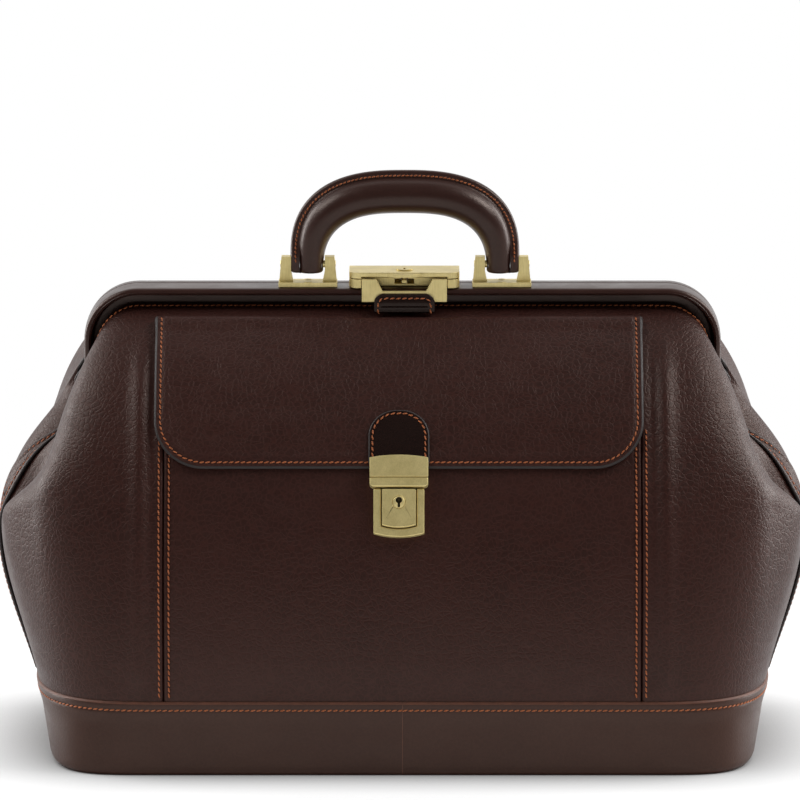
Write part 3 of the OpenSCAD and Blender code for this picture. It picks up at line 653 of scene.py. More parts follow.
def leather_finish(name, dark, light, gloss, crease, shine):
    """Polished calf leather: cloudy colour, fine pores and soft creases."""
    material, tree, shader, place = new_finish(name)
    stretched = node(tree, "ShaderNodeMapping", {"Vector": place, "Scale": CREASE_SCALE}).outputs[0]
    clouds = noise(tree, place, 14.0, 4.0, 0.6)
    creases = noise(tree, stretched, 1.0, 5.0, 0.65, 0.6)
    random = noise(tree, place, 90.0, 2.0, output="Color")
    pull = node(tree, "ShaderNodeVectorMath", {0: random, 1: LINE_PULL}, operation="MULTIPLY").outputs[0]
    crooked = node(tree, "ShaderNodeVectorMath", {0: place, 1: pull}, operation="ADD").outputs[0]
    lines = node(tree, "ShaderNodeTexVoronoi", {"Vector": crooked, "Scale": 330.0},
                 feature="DISTANCE_TO_EDGE").outputs["Distance"]
    lines = ramp(tree, lines, 0.0, 0.16, 1.0, 0.0)
    grain = noise(tree, place, 700.0, 3.0, 0.6)
    clouds = ramp(tree, clouds, 0.32, 0.68, 0.0, 0.5)
    grain_tone = ramp(tree, grain, 0.35, 0.65, 0.0, 0.4)
    tone = weighted(tree, [(clouds, 1.0), (lines, crease * 0.9), (grain_tone, 1.0)])
    stain(tree, shader, tone, dark, light)
    height = weighted(tree, [(creases, crease), (lines, crease * -0.35), (grain, 0.25)])
    relief(tree, shader, height, 0.40, 0.0008)
    tree.links.new(ramp(tree, creases, 0.3, 0.7, gloss - 0.05, gloss + 0.07), shader.inputs["Roughness"])
    shader.inputs["Specular IOR Level"].default_value = shine
    shader.inputs["Specular Tint"].default_value = rgba(WARM_GLOSS)
    return material


def edge_finish(name, tint):
    """Painted or burnished cut edge; on the base band its colour is lifted as a painted highlight along the
    rolled top.
    """
    material, tree, shader, place = new_finish(name)
    patches = noise(tree, place, 260.0, 3.0, 0.6)
    tone = ramp(tree, patches, 0.35, 0.65, 0.0, 1.0)
    stain(tree, shader, tone, darker(tint, 0.72), tint)
    relief(tree, shader, patches, 0.15, 0.0003)
    shader.inputs["Roughness"].default_value = 0.58
    return material


def thread_finish(name, light, dark):
    """Twisted, waxed thread."""
    material, tree, shader, place = new_finish(name)
    plies = node(tree, "ShaderNodeTexWave", {"Vector": place, "Scale": 420.0, "Distortion": 1.5},
                 bands_direction="DIAGONAL").outputs["Fac"]
    fibres = noise(tree, place, 900.0, 2.0)
    tone = weighted(tree, [(plies, 0.6), (fibres, 0.5)])
    stain(tree, shader, tone, dark, light)
    relief(tree, shader, plies, 0.4, 0.0002)
    shader.inputs["Roughness"].default_value = 0.62
    return material


def brushed_finish(name, light, dark, gloss, stretch, metallic=1.0):
    """Brushed metal with fine scratches along one direction and patches of tarnish."""
    material, tree, shader, place = new_finish(name)
    combed = node(tree, "ShaderNodeMapping", {"Vector": place, "Scale": stretch}).outputs[0]
    scratches = noise(tree, combed, 1.0, 3.0, 0.7)
    patches = noise(tree, place, 120.0, 3.0, 0.55)
    tone = weighted(tree, [(scratches, 0.55), (patches, 0.55)])
    tone = ramp(tree, tone, 0.38, 0.72, 0.0, 1.0)
    stain(tree, shader, tone, dark, light)
    tree.links.new(ramp(tree, scratches, 0.3, 0.7, gloss - 0.06, gloss + 0.10), shader.inputs["Roughness"])
    relief(tree, shader, scratches, 0.12, 0.0002)
    shader.inputs["Metallic"].default_value = metallic
    return material


def twill_finish(name, tint):
    """Woven lining with a diagonal rib."""
    material, tree, shader, place = new_finish(name)
    ribs = node(tree, "ShaderNodeTexWave", {"Vector": place, "Scale": 260.0, "Distortion": 0.8},
                bands_direction="DIAGONAL").outputs["Fac"]
    slubs = noise(tree, place, 300.0, 3.0)
    tone = weighted(tree, [(ribs, 0.55), (slubs, 0.45)])
    stain(tree, shader, tone, darker(tint, 0.6), tint)
    relief(tree, shader, tone, 0.35, 0.0004)
    shader.inputs["Roughness"].default_value = 0.85
    return material


def board_finish(name, tint):
    """Pressed fibre board."""
    material, tree, shader, place = new_finish(name)
    fibres = noise(tree, place, 180.0, 6.0, 0.7, 1.2)
    tone = ramp(tree, fibres, 0.35, 0.65, 0.0, 1.0)
    stain(tree, shader, tone, darker(tint, 0.65), tint)
    relief(tree, shader, fibres, 0.3, 0.0004)
    shader.inputs["Roughness"].default_value = 0.8
    return material


FINISHES = {}


def make_finishes(colours):
    """Makes every finish once, from the colours of the scene."""
    FINISHES.clear()
    FINISHES["leather"] = leather_finish(
        "body_leather", colours.leather, colours.leather_light, gloss=0.42, crease=0.85, shine=0.30)
    FINISHES["smooth_leather"] = leather_finish(
        "polished_leather", colours.polished, colours.polished_light, gloss=0.33, crease=0.03, shine=0.42)
    # Tab leather, darkened as painted shade
    FINISHES["tab_leather_painted_shade"] = leather_finish(
        "tab_leather_painted_shade", colours.tab, colours.tab_light, gloss=0.25, crease=0.03, shine=0.26)
    FINISHES["base"] = leather_finish(
        "base_leather", colours.base, colours.base_light, gloss=0.38, crease=0.20, shine=0.34)
    # Edge of the base band: burnished colour with a painted highlight in it
    FINISHES["base_edge_and_highlight"] = edge_finish("base_edge_and_highlight", colours.base_edge_and_highlight)
    FINISHES["paint"] = edge_finish("edge_paint", colours.paint)
    FINISHES["thread"] = thread_finish("sewing_thread", colours.thread, colours.thread_dark)
    FINISHES["brass"] = brushed_finish(
        "antique_brass", colours.brass, colours.brass_dark, 0.40, (2600.0, 2600.0, 120.0), metallic=0.6)
    # Inside of the keyhole: painted shade
    FINISHES["bronze"] = brushed_finish(
        "dark_bronze", colours.bronze, darker(colours.bronze, 0.5), 0.45, (900.0, 900.0, 900.0))
    FINISHES["steel"] = brushed_finish(
        "plain_steel", colours.steel, darker(colours.steel, 0.6), 0.35, (200.0, 1800.0, 1800.0))
    FINISHES["lining"] = twill_finish("lining_twill", colours.lining)
    FINISHES["board"] = board_finish("fibre_board", colours.board)


# Leather pieces

# Last column before the side seam
U_END = 0.9985
# How far the leather goes down and in behind the base band
TUCK_DOWN = 0.004
TUCK_IN = 0.0036
# Ridge beside the pocket seam, slope of the leather into the seam and gaps left open in the seams
SEAM_RIDGE = 0.013
SEAM_RAMP = 0.0016
SEAM_OPEN = 0.0022
BACK_OPEN = 0.0005
# Sewing: distance from the seam or the edge that it follows; for the strip, a share of its half width
SEAM_SEWN_IN = 0.0036
SEAM_SEWN_OUT = 0.0019
BACK_SEWN = 0.0026
MOUTH_SEWN = 0.0022
BAND_SEWN = 0.0034
FLAP_SEWN = 0.0021
TAB_SEWN = 0.0015
LOCK_TAB_SEWN = 0.0024
HANDLE_SEWN = 0.0029
STRIP_SEWN = 0.74
# Thicknesses, and how far the strip stands out and the lining lies in
STRIP_OUT = 0.0022
STRIP_THICK = 0.0020
BAND_THICK = 0.0030
LINING_DEPTH = 0.0036
LINING_THICK = 0.0008


def sheet_piece(name, points, thickness, finishes, rim_steps=5):
    """A piece of leather or cloth; its rim takes the second finish if there is one."""
    verts, faces, first_rim = sheet(points, thickness, rim_steps)
    materials = [FINISHES[finish] for finish in finishes]
    return piece(name, verts, faces, materials, first_rim if len(materials) > 1 else None)


def edge_columns(count):
    """Columns from -1 to 1 that lie closer together at both edges."""
    return np.sin(np.linspace(-1, 1, count) * math.pi / 2)


def tucked(form, us, points):
    """Adds the rows that go down behind the base band."""
    foot = points[:1]
    out = form.plan_out(us)[None] * np.where(us < 0, -1.0, 1.0)[None, :, None] ** np.array([1, 0, 0])
    below = foot - np.array([0, 0, TUCK_DOWN]) - TUCK_IN * out
    half = foot - np.array([0, 0, TUCK_DOWN / 3]) - TUCK_IN * 0.6 * out
    return np.concatenate([below, half, points])


def side_relief(form, points, v):
    """Soft folds of the side panels, outwards in metres."""
    beyond = np.abs(points[..., 0]) - form.body.seam_half
    fade = smooth(v / 0.08) * (1.0 - smooth((v - 0.72) / 0.2))
    ridge = 0.0016 * hump(beyond, SEAM_RIDGE, 0.0045) - 0.0008 * hump(beyond, 0.006, 0.003)
    return ridge * fade


def front_columns(form):
    """Values of u across the front leather, close together at the pocket seam."""
    middle = np.linspace(0.0, FLAT_U * 0.955, 16)
    ramp_x = np.array([3.6, 3.2, 2.8, 2.4, 2.0, 1.7, 1.4, 1.1, 0.8, 0.5, 0.2]) / 1000
    near = FLAT_U * (1.0 - ramp_x / form.body.seam_half)
    past = FLAT_U + np.array([0.0003, 0.0012, 0.003, 0.0055, 0.009, 0.013])
    side = np.linspace(FLAT_U + 0.018, U_END, 92)
    half = np.concatenate([middle, near, past, side])
    return np.concatenate([-half[:0:-1], half])


def panel_columns(form, gap, steps):
    """Values of u across a panel between the seams, with steps in millimetres from its edges."""
    seam = form.body.seam_half
    edge = 1.0 - np.array(steps) / 1000 / seam
    columns = np.concatenate([-edge, np.linspace(-0.88, 0.88, 40), edge[::-1]])
    return columns * (FLAT_U * (1.0 - gap / seam))


def pocket_pan(form, u, v, x):
    """Depth of the wall behind the pocket, under the front surface."""
    body = form.body
    rim = body.leather + 0.0004
    inside = np.clip(1.0 - (np.abs(u) / FLAT_U) ** 6, 0, 1)
    pan = rim + (body.pocket_depth - rim) * inside * smooth(v / 0.06)
    edge = smooth((body.seam_half + 0.0003 - np.abs(x)) / SEAM_RAMP)
    return pan * edge * (1.0 - smooth((v - POCKET_TOP_V + 0.01) / WALL_RISE_V))


def front_leather(form):
    """Side panels and the wall behind the pocket, in one piece of leather."""
    us = front_columns(form)
    vs = np.linspace(0.0, TOP_V, 130)
    u, v = us[None, :], vs[:, None]
    points = form.skin(u, v)
    out = grid_normals(points)
    depth = pocket_pan(form, u, v, points[..., 0])
    points = points + out * (side_relief(form, points, v) - depth)[..., None]
    points = tucked(form, us, points)
    obj = sheet_piece("front_leather", points, form.body.leather - 0.0002, ["leather", "paint"])
    return fit(obj, "bag", ["front_side_left", "front_side_right", "front_wall"])


def pocket_front(form):
    """Front of the pocket, with its hem under the flap."""
    body = form.body
    us = panel_columns(form, SEAM_OPEN, [0.0, 0.4, 0.9, 1.5, 2.2, 3.0, 3.8, 4.6, 5.6, 7.0, 9.0, 12.0])
    vs = np.linspace(0.0, POCKET_TOP_V, 100)
    u, v = us[None, :], vs[:, None]
    points = form.skin(u, v)
    out = grid_normals(points)
    inset = body.seam_half - np.abs(points[..., 0])
    groove = -0.0003 * hump(inset, SEAM_SEWN_IN, 0.0009)
    belly = 0.0010 * smooth(inset / 0.05) * smooth(v / 0.1)
    points = points + out * (groove + belly)[..., None]
    points = tucked(form, us, points)
    obj = sheet_piece("pocket_front_leather", points, body.leather, ["leather"])
    return fit(obj, "bag", ["pocket_front"])


def back_leather(form):
    """Panel and sides of the back."""
    panel_us = panel_columns(form, BACK_OPEN, [0.0, 0.5, 1.2, 2.2, 3.6, 5.4, 8.0, 12.0])
    side_us = np.concatenate([FLAT_U + np.array([0.0006, 0.002, 0.005, 0.009]),
                              np.linspace(FLAT_U + 0.015, U_END, 92)])
    vs = np.linspace(0.0, TOP_V, 120)

    def back_piece(name, us, nodes, left=False):
        points = form.skin(us[None, :], vs[:, None])
        out = grid_normals(points)
        points = points + out * side_relief(form, points, vs[:, None])[..., None]
        points = mirror_back(tucked(form, us, points))
        if left:
            points = mirror_left(points)
        obj = sheet_piece(name, points, form.body.leather, ["leather", "paint"])
        fit_bending(obj, nodes)

    back_piece("back_panel_leather", panel_us, ["back_panel", "back_panel_upper"])
    back_piece("back_side_right_leather", side_us, ["back_side_right", "back_side_upper_right"])
    back_piece("back_side_left_leather", side_us, ["back_side_left", "back_side_upper_left"], left=True)


def strip_half_width(form, v):
    """Half width of the side strip, which narrows towards the hinges."""
    return form.body.strip_half * (1.0 - 0.45 * smooth((v - 0.70) / 0.27))


def strip_points(forms, across, vs):
    """Points of the right side strip: across runs from -1, front, to 1, back."""
    rows = []
    for v in vs:
        reach = strip_half_width(forms[0], v) * np.abs(across)
        halves = [form.skin(form.u_at(np.full_like(reach, v), reach, 1), v) for form in forms]
        line = np.where(across[:, None] < 0, halves[0], halves[1])
        line[:, 1] = np.sign(across) * reach
        rows.append(line)
    return np.array(rows)


def side_strips(forms):
    """Strips over the side seams, from the base band to the hinges."""
    across = edge_columns(27)
    vs = np.linspace(0.006, 0.965, 90)
    points = strip_points(forms, across, vs)
    out = grid_normals(points)
    offset = STRIP_OUT - 0.0003 * hump(np.abs(across), STRIP_SEWN, 0.10)
    points = points + out * offset[None, :, None]
    for side, grid in (("right", points), ("left", mirror_left(points))):
        obj = sheet_piece(f"side_strip_{side}_leather", grid, STRIP_THICK, ["leather", "paint"])
        fit(obj, "bag", [f"side_strip_{side}"])


def base_bands(form):
    """Two halves of the band round the foot, with a rolled top edge."""
    body = form.body
    seam = 0.00015 * FLAT_U / body.seam_half
    half = np.concatenate([seam + np.array([0.0, 0.002, 0.006, 0.014]), np.linspace(0.03, FLAT_U, 24),
                           np.linspace(FLAT_U + 0.006, 1.0, 80)])
    ps = np.concatenate([half, 2.0 - half[-2::-1]])
    low = body.edge_height * (1.0 - np.cos(np.linspace(0.06, 0.5, 9) * math.pi))
    middle = np.linspace(body.edge_height + 0.002, body.band_height - 0.007, 12)
    top = body.band_height - np.array([6.0, 5.2, 4.4, 3.8, 3.2, 2.5, 1.8, 1.0, 0.0]) / 1000
    zs = np.concatenate([low, middle, top])
    p, z = ps[None, :], zs[:, None]
    points = form.band(p, z, 0.0)
    out = grid_normals(points)
    lip = body.band_lip * smooth((z - body.band_height + 0.012) / 0.010)
    groove = -0.00035 * hump(z, body.band_height - BAND_SEWN, 0.0009)
    points = points + out * (lip + groove)[..., None]
    for side, grid in (("right", points), ("left", mirror_left(points))):
        obj = sheet_piece(f"base_band_{side}_leather", grid, BAND_THICK, ["base", "base_edge_and_highlight"], 6)
        fit(obj, "bag", [f"base_band_{side}"])


def linings(forms):
    """Twill inside the front and the back."""
    side = np.linspace(FLAT_U + 0.03, 0.99, 50)
    us = np.concatenate([-side[::-1], np.linspace(-FLAT_U, FLAT_U, 40), side])
    vs = np.linspace(0.0, 0.91, 80)
    u, v = us[None, :], vs[:, None]
    folds = 0.0003 * np.sin(u * 60.0) * smooth(v / 0.2)

    def cloth(form, depth):
        points = form.skin(u, v)
        return points - grid_normals(points) * (depth(points) + folds)[..., None]

    front = cloth(forms[0], lambda points: np.maximum(
        LINING_DEPTH, pocket_pan(forms[0], u, v, points[..., 0]) + 0.0032))
    obj = sheet_piece("lining_front_twill", front, LINING_THICK, ["lining"], 3)
    fit(obj, "bag", ["lining_front"])
    back = mirror_back(cloth(forms[1], lambda points: np.full(points.shape[:2], LINING_DEPTH)))
    obj = sheet_piece("lining_back_twill", back, LINING_THICK, ["lining"], 3)
    fit_bending(obj, ["lining_back", "lining_back_upper"])


# Mouth frame and handle

# Web of the frame under its strip: height and depth, with the gap between the two halves
WEB_IN = 0.016
WEB_DEPTH = 0.009
MID_GAP = 0.0003
# Heights over the hinge at which the strip narrows and at which the leather of a leg begins
LIP_END = 0.039
LEG_FOOT = 0.007
# Thickness of the strip's edge, and how far the strip slopes down to it in front and behind
NOSE = 0.0036
FRONT_CROWN = 0.0004
BACK_CROWN = 0.0028


def frame_section(mouth, lip, crown):
    """Section of one half of the frame.

    Its points are distances from the corner's centre and from the middle of the bag; lip goes from 0, the
    web alone, to 1, with the whole strip.
    """
    outer, inner = mouth.corner, mouth.corner - WEB_IN
    shelf = mouth.corner - mouth.lip
    depth = mix(WEB_DEPTH + 0.0006, mouth.strip_depth, lip)
    nose = mix(0.0004, 0.0028, lip)
    edge = outer - crown * lip
    chin = max(edge - NOSE, shelf) if lip > 0.5 else shelf
    return rounded([
        (outer, MID_GAP, 0.0012), (outer - 0.15 * crown * lip, depth * 0.55, 0.003), (edge, depth, nose),
        (chin, depth, min(nose * 0.55, (edge - chin) * 0.45)),
        (shelf, WEB_DEPTH, mix(0.0002, 0.0015, lip)), (inner, WEB_DEPTH, 0.003), (inner, MID_GAP, 0.003)], 7)


def frame_rings(mouth, crown):
    """Rings of the front half's cover from its right leg over the bar to the left leg."""
    corner_x, corner_z = mouth.half_w - mouth.corner, mouth.top - mouth.corner
    rings = []

    def leg(z, side):
        lip = float(smooth((z - mouth.hinge - LIP_END + 0.006) / 0.012))
        section = frame_section(mouth, lip, crown)
        r, d = section[:, 0], section[:, 1]
        return np.stack([side * (corner_x + r), -d, np.full_like(r, z)], axis=-1)

    section = frame_section(mouth, 1.0, crown)
    r, d = section[:, 0], section[:, 1]

    def turn(x, start, end):
        angles = np.linspace(start, end, 18)[1:]
        return [np.stack([x + r * math.cos(a), -d, corner_z + r * math.sin(a)], axis=-1) for a in angles]

    heights = np.linspace(mouth.hinge + LEG_FOOT, corner_z, 40)
    rings += [leg(z, 1.0) for z in heights]
    rings += turn(corner_x, 0.0, math.pi / 2)
    for x in np.linspace(corner_x, -corner_x, 60)[1:]:
        rings.append(np.stack([np.full_like(r, x), -d, corner_z + r], axis=-1))
    rings += turn(-corner_x, math.pi / 2, math.pi)
    rings += [leg(z, -1.0) for z in heights[::-1][1:]]
    return np.array(rings)


def frame_wraps(mouth):
    """Leather drawn over both halves of the frame."""
    front, back = frame_rings(mouth, FRONT_CROWN), mirror_back(frame_rings(mouth, BACK_CROWN))
    for name, body, node_name, grid in (
            ("front_frame_leather", "bag", "front_frame_wrap", front),
            ("back_frame_leather", "back_frame", "back_frame_wrap", back)):
        verts, faces = sweep(grid)
        obj = piece(name, verts, faces, [FINISHES["smooth_leather"]])
        fit(outward(obj), body, [node_name])


def back_steel(mouth):
    """Steel of the back half, drawn in under the slope of its leather."""
    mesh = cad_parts["back_frame"].data.copy()
    mesh.materials.clear()
    mesh.materials.append(FINISHES["steel"])
    places = np.empty(len(mesh.vertices) * 3)
    mesh.vertices.foreach_get("co", places)
    places = places.reshape(-1, 3)
    beyond = np.clip(np.abs(places[:, 0]) - mouth.half_w + mouth.corner, 1e-9, None) * np.sign(places[:, 0])
    over = np.clip(places[:, 2] - mouth.top + mouth.corner, 1e-9, None)
    away = unit(np.stack([beyond, np.zeros(len(places)), over], axis=-1))
    slope = BACK_CROWN * np.clip(places[:, 1] / mouth.strip_depth, 0.0, 1.0)
    mesh.vertices.foreach_set("co", np.ravel(places - away * slope[:, None]))
    mesh.update()
    obj = bpy.data.objects.new("back_frame_steel", mesh)
    bpy.context.scene.collection.objects.link(obj)
    return fit(obj, "back_frame", ["back_frame"])


def outward(obj):
    """Turns all faces of a closed piece outwards."""
    made = bmesh.new()
    made.from_mesh(obj.data)
    bmesh.ops.recalc_face_normals(made, faces=made.faces)
    made.to_mesh(obj.data)
    made.free()
    return obj


# Squareness of the handle's arch, and the sewn flange: height, half thickness and the same at the pivots
ARCH_POWER = 2.75
FLANGE = 0.0043
FLANGE_HALF = 0.0026
FLANGE_FOOT = 0.0048
# Half depth of the grip as a share of its half height
GRIP_DEPTH = 0.93
# Rings that round off the end of a leg, from the outermost: share of the section and distance beyond it
FOOT_ROUND = ((0.80, 0.0010), (0.93, 0.0008))


def handle_line(mouth, count):
    """Middle line of the handle in even steps from right to left, with its outward direction."""
    t = np.linspace(0.0, math.pi, 4000)
    power = 2.0 / ARCH_POWER
    x = mouth.handle_half * np.sign(np.cos(t)) * np.abs(np.cos(t)) ** power
    z = mouth.handle_foot + mouth.handle_rise * np.abs(np.sin(t)) ** power
    run = np.concatenate([[0.0], np.cumsum(np.hypot(np.diff(x), np.diff(z)))])
    even = np.linspace(0.0, run[-1], count)
    line = np.stack([np.interp(even, run, x), np.interp(even, run, z)], axis=-1)
    along = unit(np.gradient(line, axis=0))
    out = np.stack([along[:, 1], -along[:, 0]], axis=-1)
    return line, out


def handle_half_thick(mouth, line):
    """Half thickness of the handle, from the foot of a leg to the middle of the grip."""
    level = (line[:, 1] - mouth.handle_foot) / mouth.handle_rise
    return mix(mouth.handle_leg, mouth.handle_thick, smooth(level * 1.1))


def flange_half(mouth, line):
    """Half thickness of the sewn flange, which grows round the pivots."""
    level = (line[:, 1] - mouth.handle_foot) / mouth.handle_rise
    return mix(FLANGE_FOOT, FLANGE_HALF, smooth((level - 0.16) / 0.22))


def handle_section(half, deep, f):
    """Section of the handle: a round body with a sewn flange on the outer side."""
    turn = np.linspace(math.radians(26), math.pi, 20)
    body_r = half - FLANGE / 2
    round_side = np.stack([-FLANGE / 2 + body_r * np.cos(turn), deep * np.sin(turn)], axis=-1)
    flange = np.array([(half, 0.0), (half - 0.0002, 0.55 * f), (half - 0.0008, 0.88 * f), (half - 0.0017, f),
                       (half - 0.0030, f), (half - 0.0040, 1.02 * f), (half - 0.0046, 1.22 * f)])
    side = np.concatenate([flange, round_side])
    return np.concatenate([side, side[-2:0:-1] * np.array([1.0, -1.0])])


def foot_rings(ring):
    """Rings that round off the end of a leg, the outermost first."""
    middle = ring.mean(axis=0)
    return [middle + (ring - middle) * size - np.array([0.0, 0.0, drop]) for size, drop in FOOT_ROUND]


def handle_grip(mouth):
    """Padded leather handle with its sewn flange."""
    line, out = handle_line(mouth, 120)
    half = handle_half_thick(mouth, line)
    rings = []
    for (x, z), (ox, oz), h, f in zip(line, out, half, flange_half(mouth, line)):
        section = handle_section(h, h * GRIP_DEPTH, f)
        rings.append(np.stack([mouth.handle_shift + x + ox * section[:, 0], mouth.handle_y + section[:, 1],
                               z + oz * section[:, 0]], axis=-1))
    rings = np.array(rings)
    rings = np.concatenate([foot_rings(rings[0]), rings, foot_rings(rings[-1])[::-1]])
    verts, faces = sweep(rings)
    obj = outward(piece("handle_grip_leather", verts, faces, [FINISHES["smooth_leather"]]))
    return fit(obj, "handle", ["handle_grip"])


# Flap

# Room under the fold, and the roll along the flap's top: how far it stands out and how much it thickens
FLAP_TOP_ROOM = 0.0014
FLAP_ROLL_OUT = 0.0014
FLAP_ROLL_THICK = 0.0010
# Half width that the roll leaves free in the middle, for the tab of the top lock, and that tab's rounding
FLAP_ROLL_FREE = 0.023
LOCK_TAB_ROUND = 0.0046


def flap_rows(flap, height):
    """Distances over the lower edge of the flap, with the half width of each."""
    turn = np.linspace(0.0, math.pi / 2, 22)
    corner = flap.corner
    lows = corner * (1.0 - np.cos(turn))
    halves = flap.half_w - corner + corner * np.sin(turn)
    ups = np.linspace(corner, height, 52)[1:]
    return np.concatenate([lows, ups]), np.concatenate([halves, np.full(len(ups), flap.half_w)])


def tab_rows(half, height, radius, low_count, turn_count):
    """Distances over the lower edge of a tab with a round top, with the half width of each."""
    turn = np.linspace(0.0, math.pi / 2, turn_count)[1:]
    lows = np.linspace(0.0, height - radius, low_count)
    ups = height - radius + radius * np.sin(turn)
    halves = half - radius + radius * np.cos(turn)
    return np.concatenate([lows, ups]), np.concatenate([np.full(low_count, half), halves])


def spread(rows, halves, count):
    """Grid of x and of distances, from rows with their half widths."""
    x = halves[:, None] * edge_columns(count)[None, :]
    return x, np.broadcast_to(rows[:, None], x.shape)


def front_run(form):
    """Length along the middle of the front, and the v that belongs to it."""
    v = np.linspace(0.3, 1.0, 1500)
    y, z = form.front_line(v, np.zeros_like(v))
    return np.concatenate([[0.0], np.cumsum(np.hypot(np.diff(y), np.diff(z)))]), v


def v_at(form, base_v, distance):
    """The v that lies a distance up the front from another v."""
    run, v = front_run(form)
    return np.interp(np.interp(base_v, v, run) + distance, run, v)


def front_length(form, low_v, high_v):
    """Length along the middle of the front between two v."""
    run, v = front_run(form)
    return np.interp(high_v, v, run) - np.interp(low_v, v, run)


def flap_height(form):
    return front_length(form, FLAP_LOW_V, FLAP_TOP_V) - FLAP_TOP_ROOM


def tab_height(form):
    return front_length(form, TAB_LOW_V, TAB_TOP_V)


def edge_distance(x, s, half_w, corner):
    """Distance of points on the flap from its side and lower edges."""
    beside, over = half_w - np.abs(x), s
    in_corner = (beside < corner) & (over < corner)
    arc = corner - np.hypot(corner - beside, corner - over)
    return np.where(in_corner, arc, np.minimum(beside, over))


def flap_roll(flap, x, s, height):
    """Share of the roll along the flap's top, which leaves room for the tab of the top lock."""
    room = smooth((np.abs(x + flap.shift) - FLAP_ROLL_FREE) / 0.012)
    return smooth((s - height + 0.012) / 0.010) * (0.1 + 0.9 * room)


def flap_outside(form, flap, x, s):
    """Outer face of the flap at a distance over its lower edge."""
    height = flap_height(form)
    v = v_at(form, FLAP_LOW_V, s)
    inside = edge_distance(x, s, flap.half_w, flap.corner)
    roll = FLAP_ROLL_OUT * flap_roll(flap, x, s, height)
    groove = -0.00030 * hump(inside, FLAP_SEWN, 0.0009) + 0.00025 * hump(inside, 0.0052, 0.0018)
    thin = -0.0007 * smooth((s - height + 0.0016) / 0.0016)
    depth = -(flap.clear + flap.thick + roll + groove + thin)
    y, z = form.front_line(v, depth)
    return np.stack([x + flap.shift, y, z], axis=-1)


def pocket_flap(form, flap):
    """Flap over the pocket, with its rolled top and painted edge."""
    height = flap_height(form)
    x, s = spread(*flap_rows(flap, height), 121)
    points = flap_outside(form, flap, x, s)
    thick = flap.thick + FLAP_ROLL_THICK * flap_roll(flap, x, s, height)
    obj = sheet_piece("pocket_flap_leather", points, thick, ["leather", "paint"], 6)
    return fit(obj, "flap", ["pocket_flap"])


def flap_tab(form, flap):
    """Tab that carries the hasp."""
    height = tab_height(form)
    x, s = spread(*tab_rows(flap.tab_half, height, flap.tab_round, 26, 18), 41)
    inside = edge_distance(x, height - s, flap.tab_half, flap.tab_round)
    groove = -0.00025 * hump(inside, TAB_SEWN, 0.0008)
    depth = -(flap.clear + flap.thick + 0.0001 + flap.tab_thick + groove)
    y, z = form.front_line(v_at(form, TAB_LOW_V, s), depth)
    points = np.stack([x + flap.shift, y, z], axis=-1)
    # The tab's dark finish is painted shade
    obj = sheet_piece("flap_tab_leather", points, flap.tab_thick, ["tab_leather_painted_shade", "paint"])
    return fit(obj, "flap", ["flap_tab"])


def lock_tab():
    """Small sewn leather tab in front of the top lock."""
    low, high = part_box("lock_tab")
    thick = high.y - low.y - 0.0006
    half = (high.x - low.x - thick) / 2
    height = high.z - low.z - thick
    x, s = spread(*tab_rows(half, height, LOCK_TAB_ROUND, 12, 12), 41)
    inside = np.minimum(edge_distance(x, height - s, half, LOCK_TAB_ROUND), s)
    crown = 0.0010 * smooth(inside / 0.004) - 0.0003 * hump(inside, LOCK_TAB_SEWN, 0.0006)
    points = np.stack([x + (low.x + high.x) / 2, low.y - crown + 0.0004, low.z + thick / 2 + s], axis=-1)
    # Near-black finish: painted shadow under the frame's strip
    obj = sheet_piece("lock_tab_leather", points, thick, ["tab_leather_painted_shade"])
    return fit(obj, "bag", ["lock_tab"])


# Metal

BRASS_NODES = {
    "bag": ["bracket_left", "bracket_right", "bracket_screws", "handle_pins", "lock_base", "lock_apron",
            "tuck_lock_body"],
    "back_frame": ["lock_hinge_plate", "lock_hinge_pin"],
    "lock_cover": ["lock_cover"],
    "lock_key": ["lock_key_plug"],
    "flap": ["hasp_plate", "hasp_clip", "hasp_rivets"],
    "tuck_button": ["tuck_button"],
}
BEVELS = {"bracket_left": 0.0006, "bracket_right": 0.0006, "lock_base": 0.0005, "lock_cover": 0.0006,
          "lock_apron": 0.0004, "tuck_lock_body": 0.0007, "hasp_plate": 0.0005, "hasp_clip": 0.0008,
          "tuck_button": 0.0007, "bracket_screws": 0.0003, "handle_pins": 0.0004, "hasp_rivets": 0.0002,
          "lock_key_plug": 0.0004, "lock_hinge_plate": 0.0004, "lock_hinge_pin": 0.0003}


def brass_fittings():
    """Brackets and both locks with broken edges and brushed brass."""
    for body, nodes in BRASS_NODES.items():
        for name in nodes:
            obj = bevelled_copy(
                name, f"{name}_brass", BEVELS[name], FINISHES["brass"], merge=name != "tuck_button")
            fit(obj, body, [name])


# Plug of the pocket lock: radius, front and back over the leather, height over the lock's middle, columns
PLUG_R = 0.00338
PLUG_FRONT = 0.0070
PLUG_BACK = 0.0034
KEY_Z = 0.005
PLUG_STEPS = 96
# First band of the plug's faces that lies inside the keyhole and takes the painted shade, and the number of
# all bands
HOLE_BANDS = (5, 7)
# Keyhole: radius and height of its round part, half width and foot of its slot
KEYHOLE_R = 0.0017
KEYHOLE_UP = 0.0011
KEYHOLE_HALF = 0.00062
KEYHOLE_LOW = -0.0028


def keyhole(angles):
    """Radius of the keyhole's outline round the middle of its round part."""
    down = np.clip(-np.sin(angles), 1e-6, None)
    aside = np.maximum(np.abs(np.cos(angles)), 1e-6)
    slot = np.minimum(KEYHOLE_HALF / aside, (KEYHOLE_UP - KEYHOLE_LOW) / down)
    return np.where(np.sin(angles) < 0, np.maximum(KEYHOLE_R, slot), KEYHOLE_R)


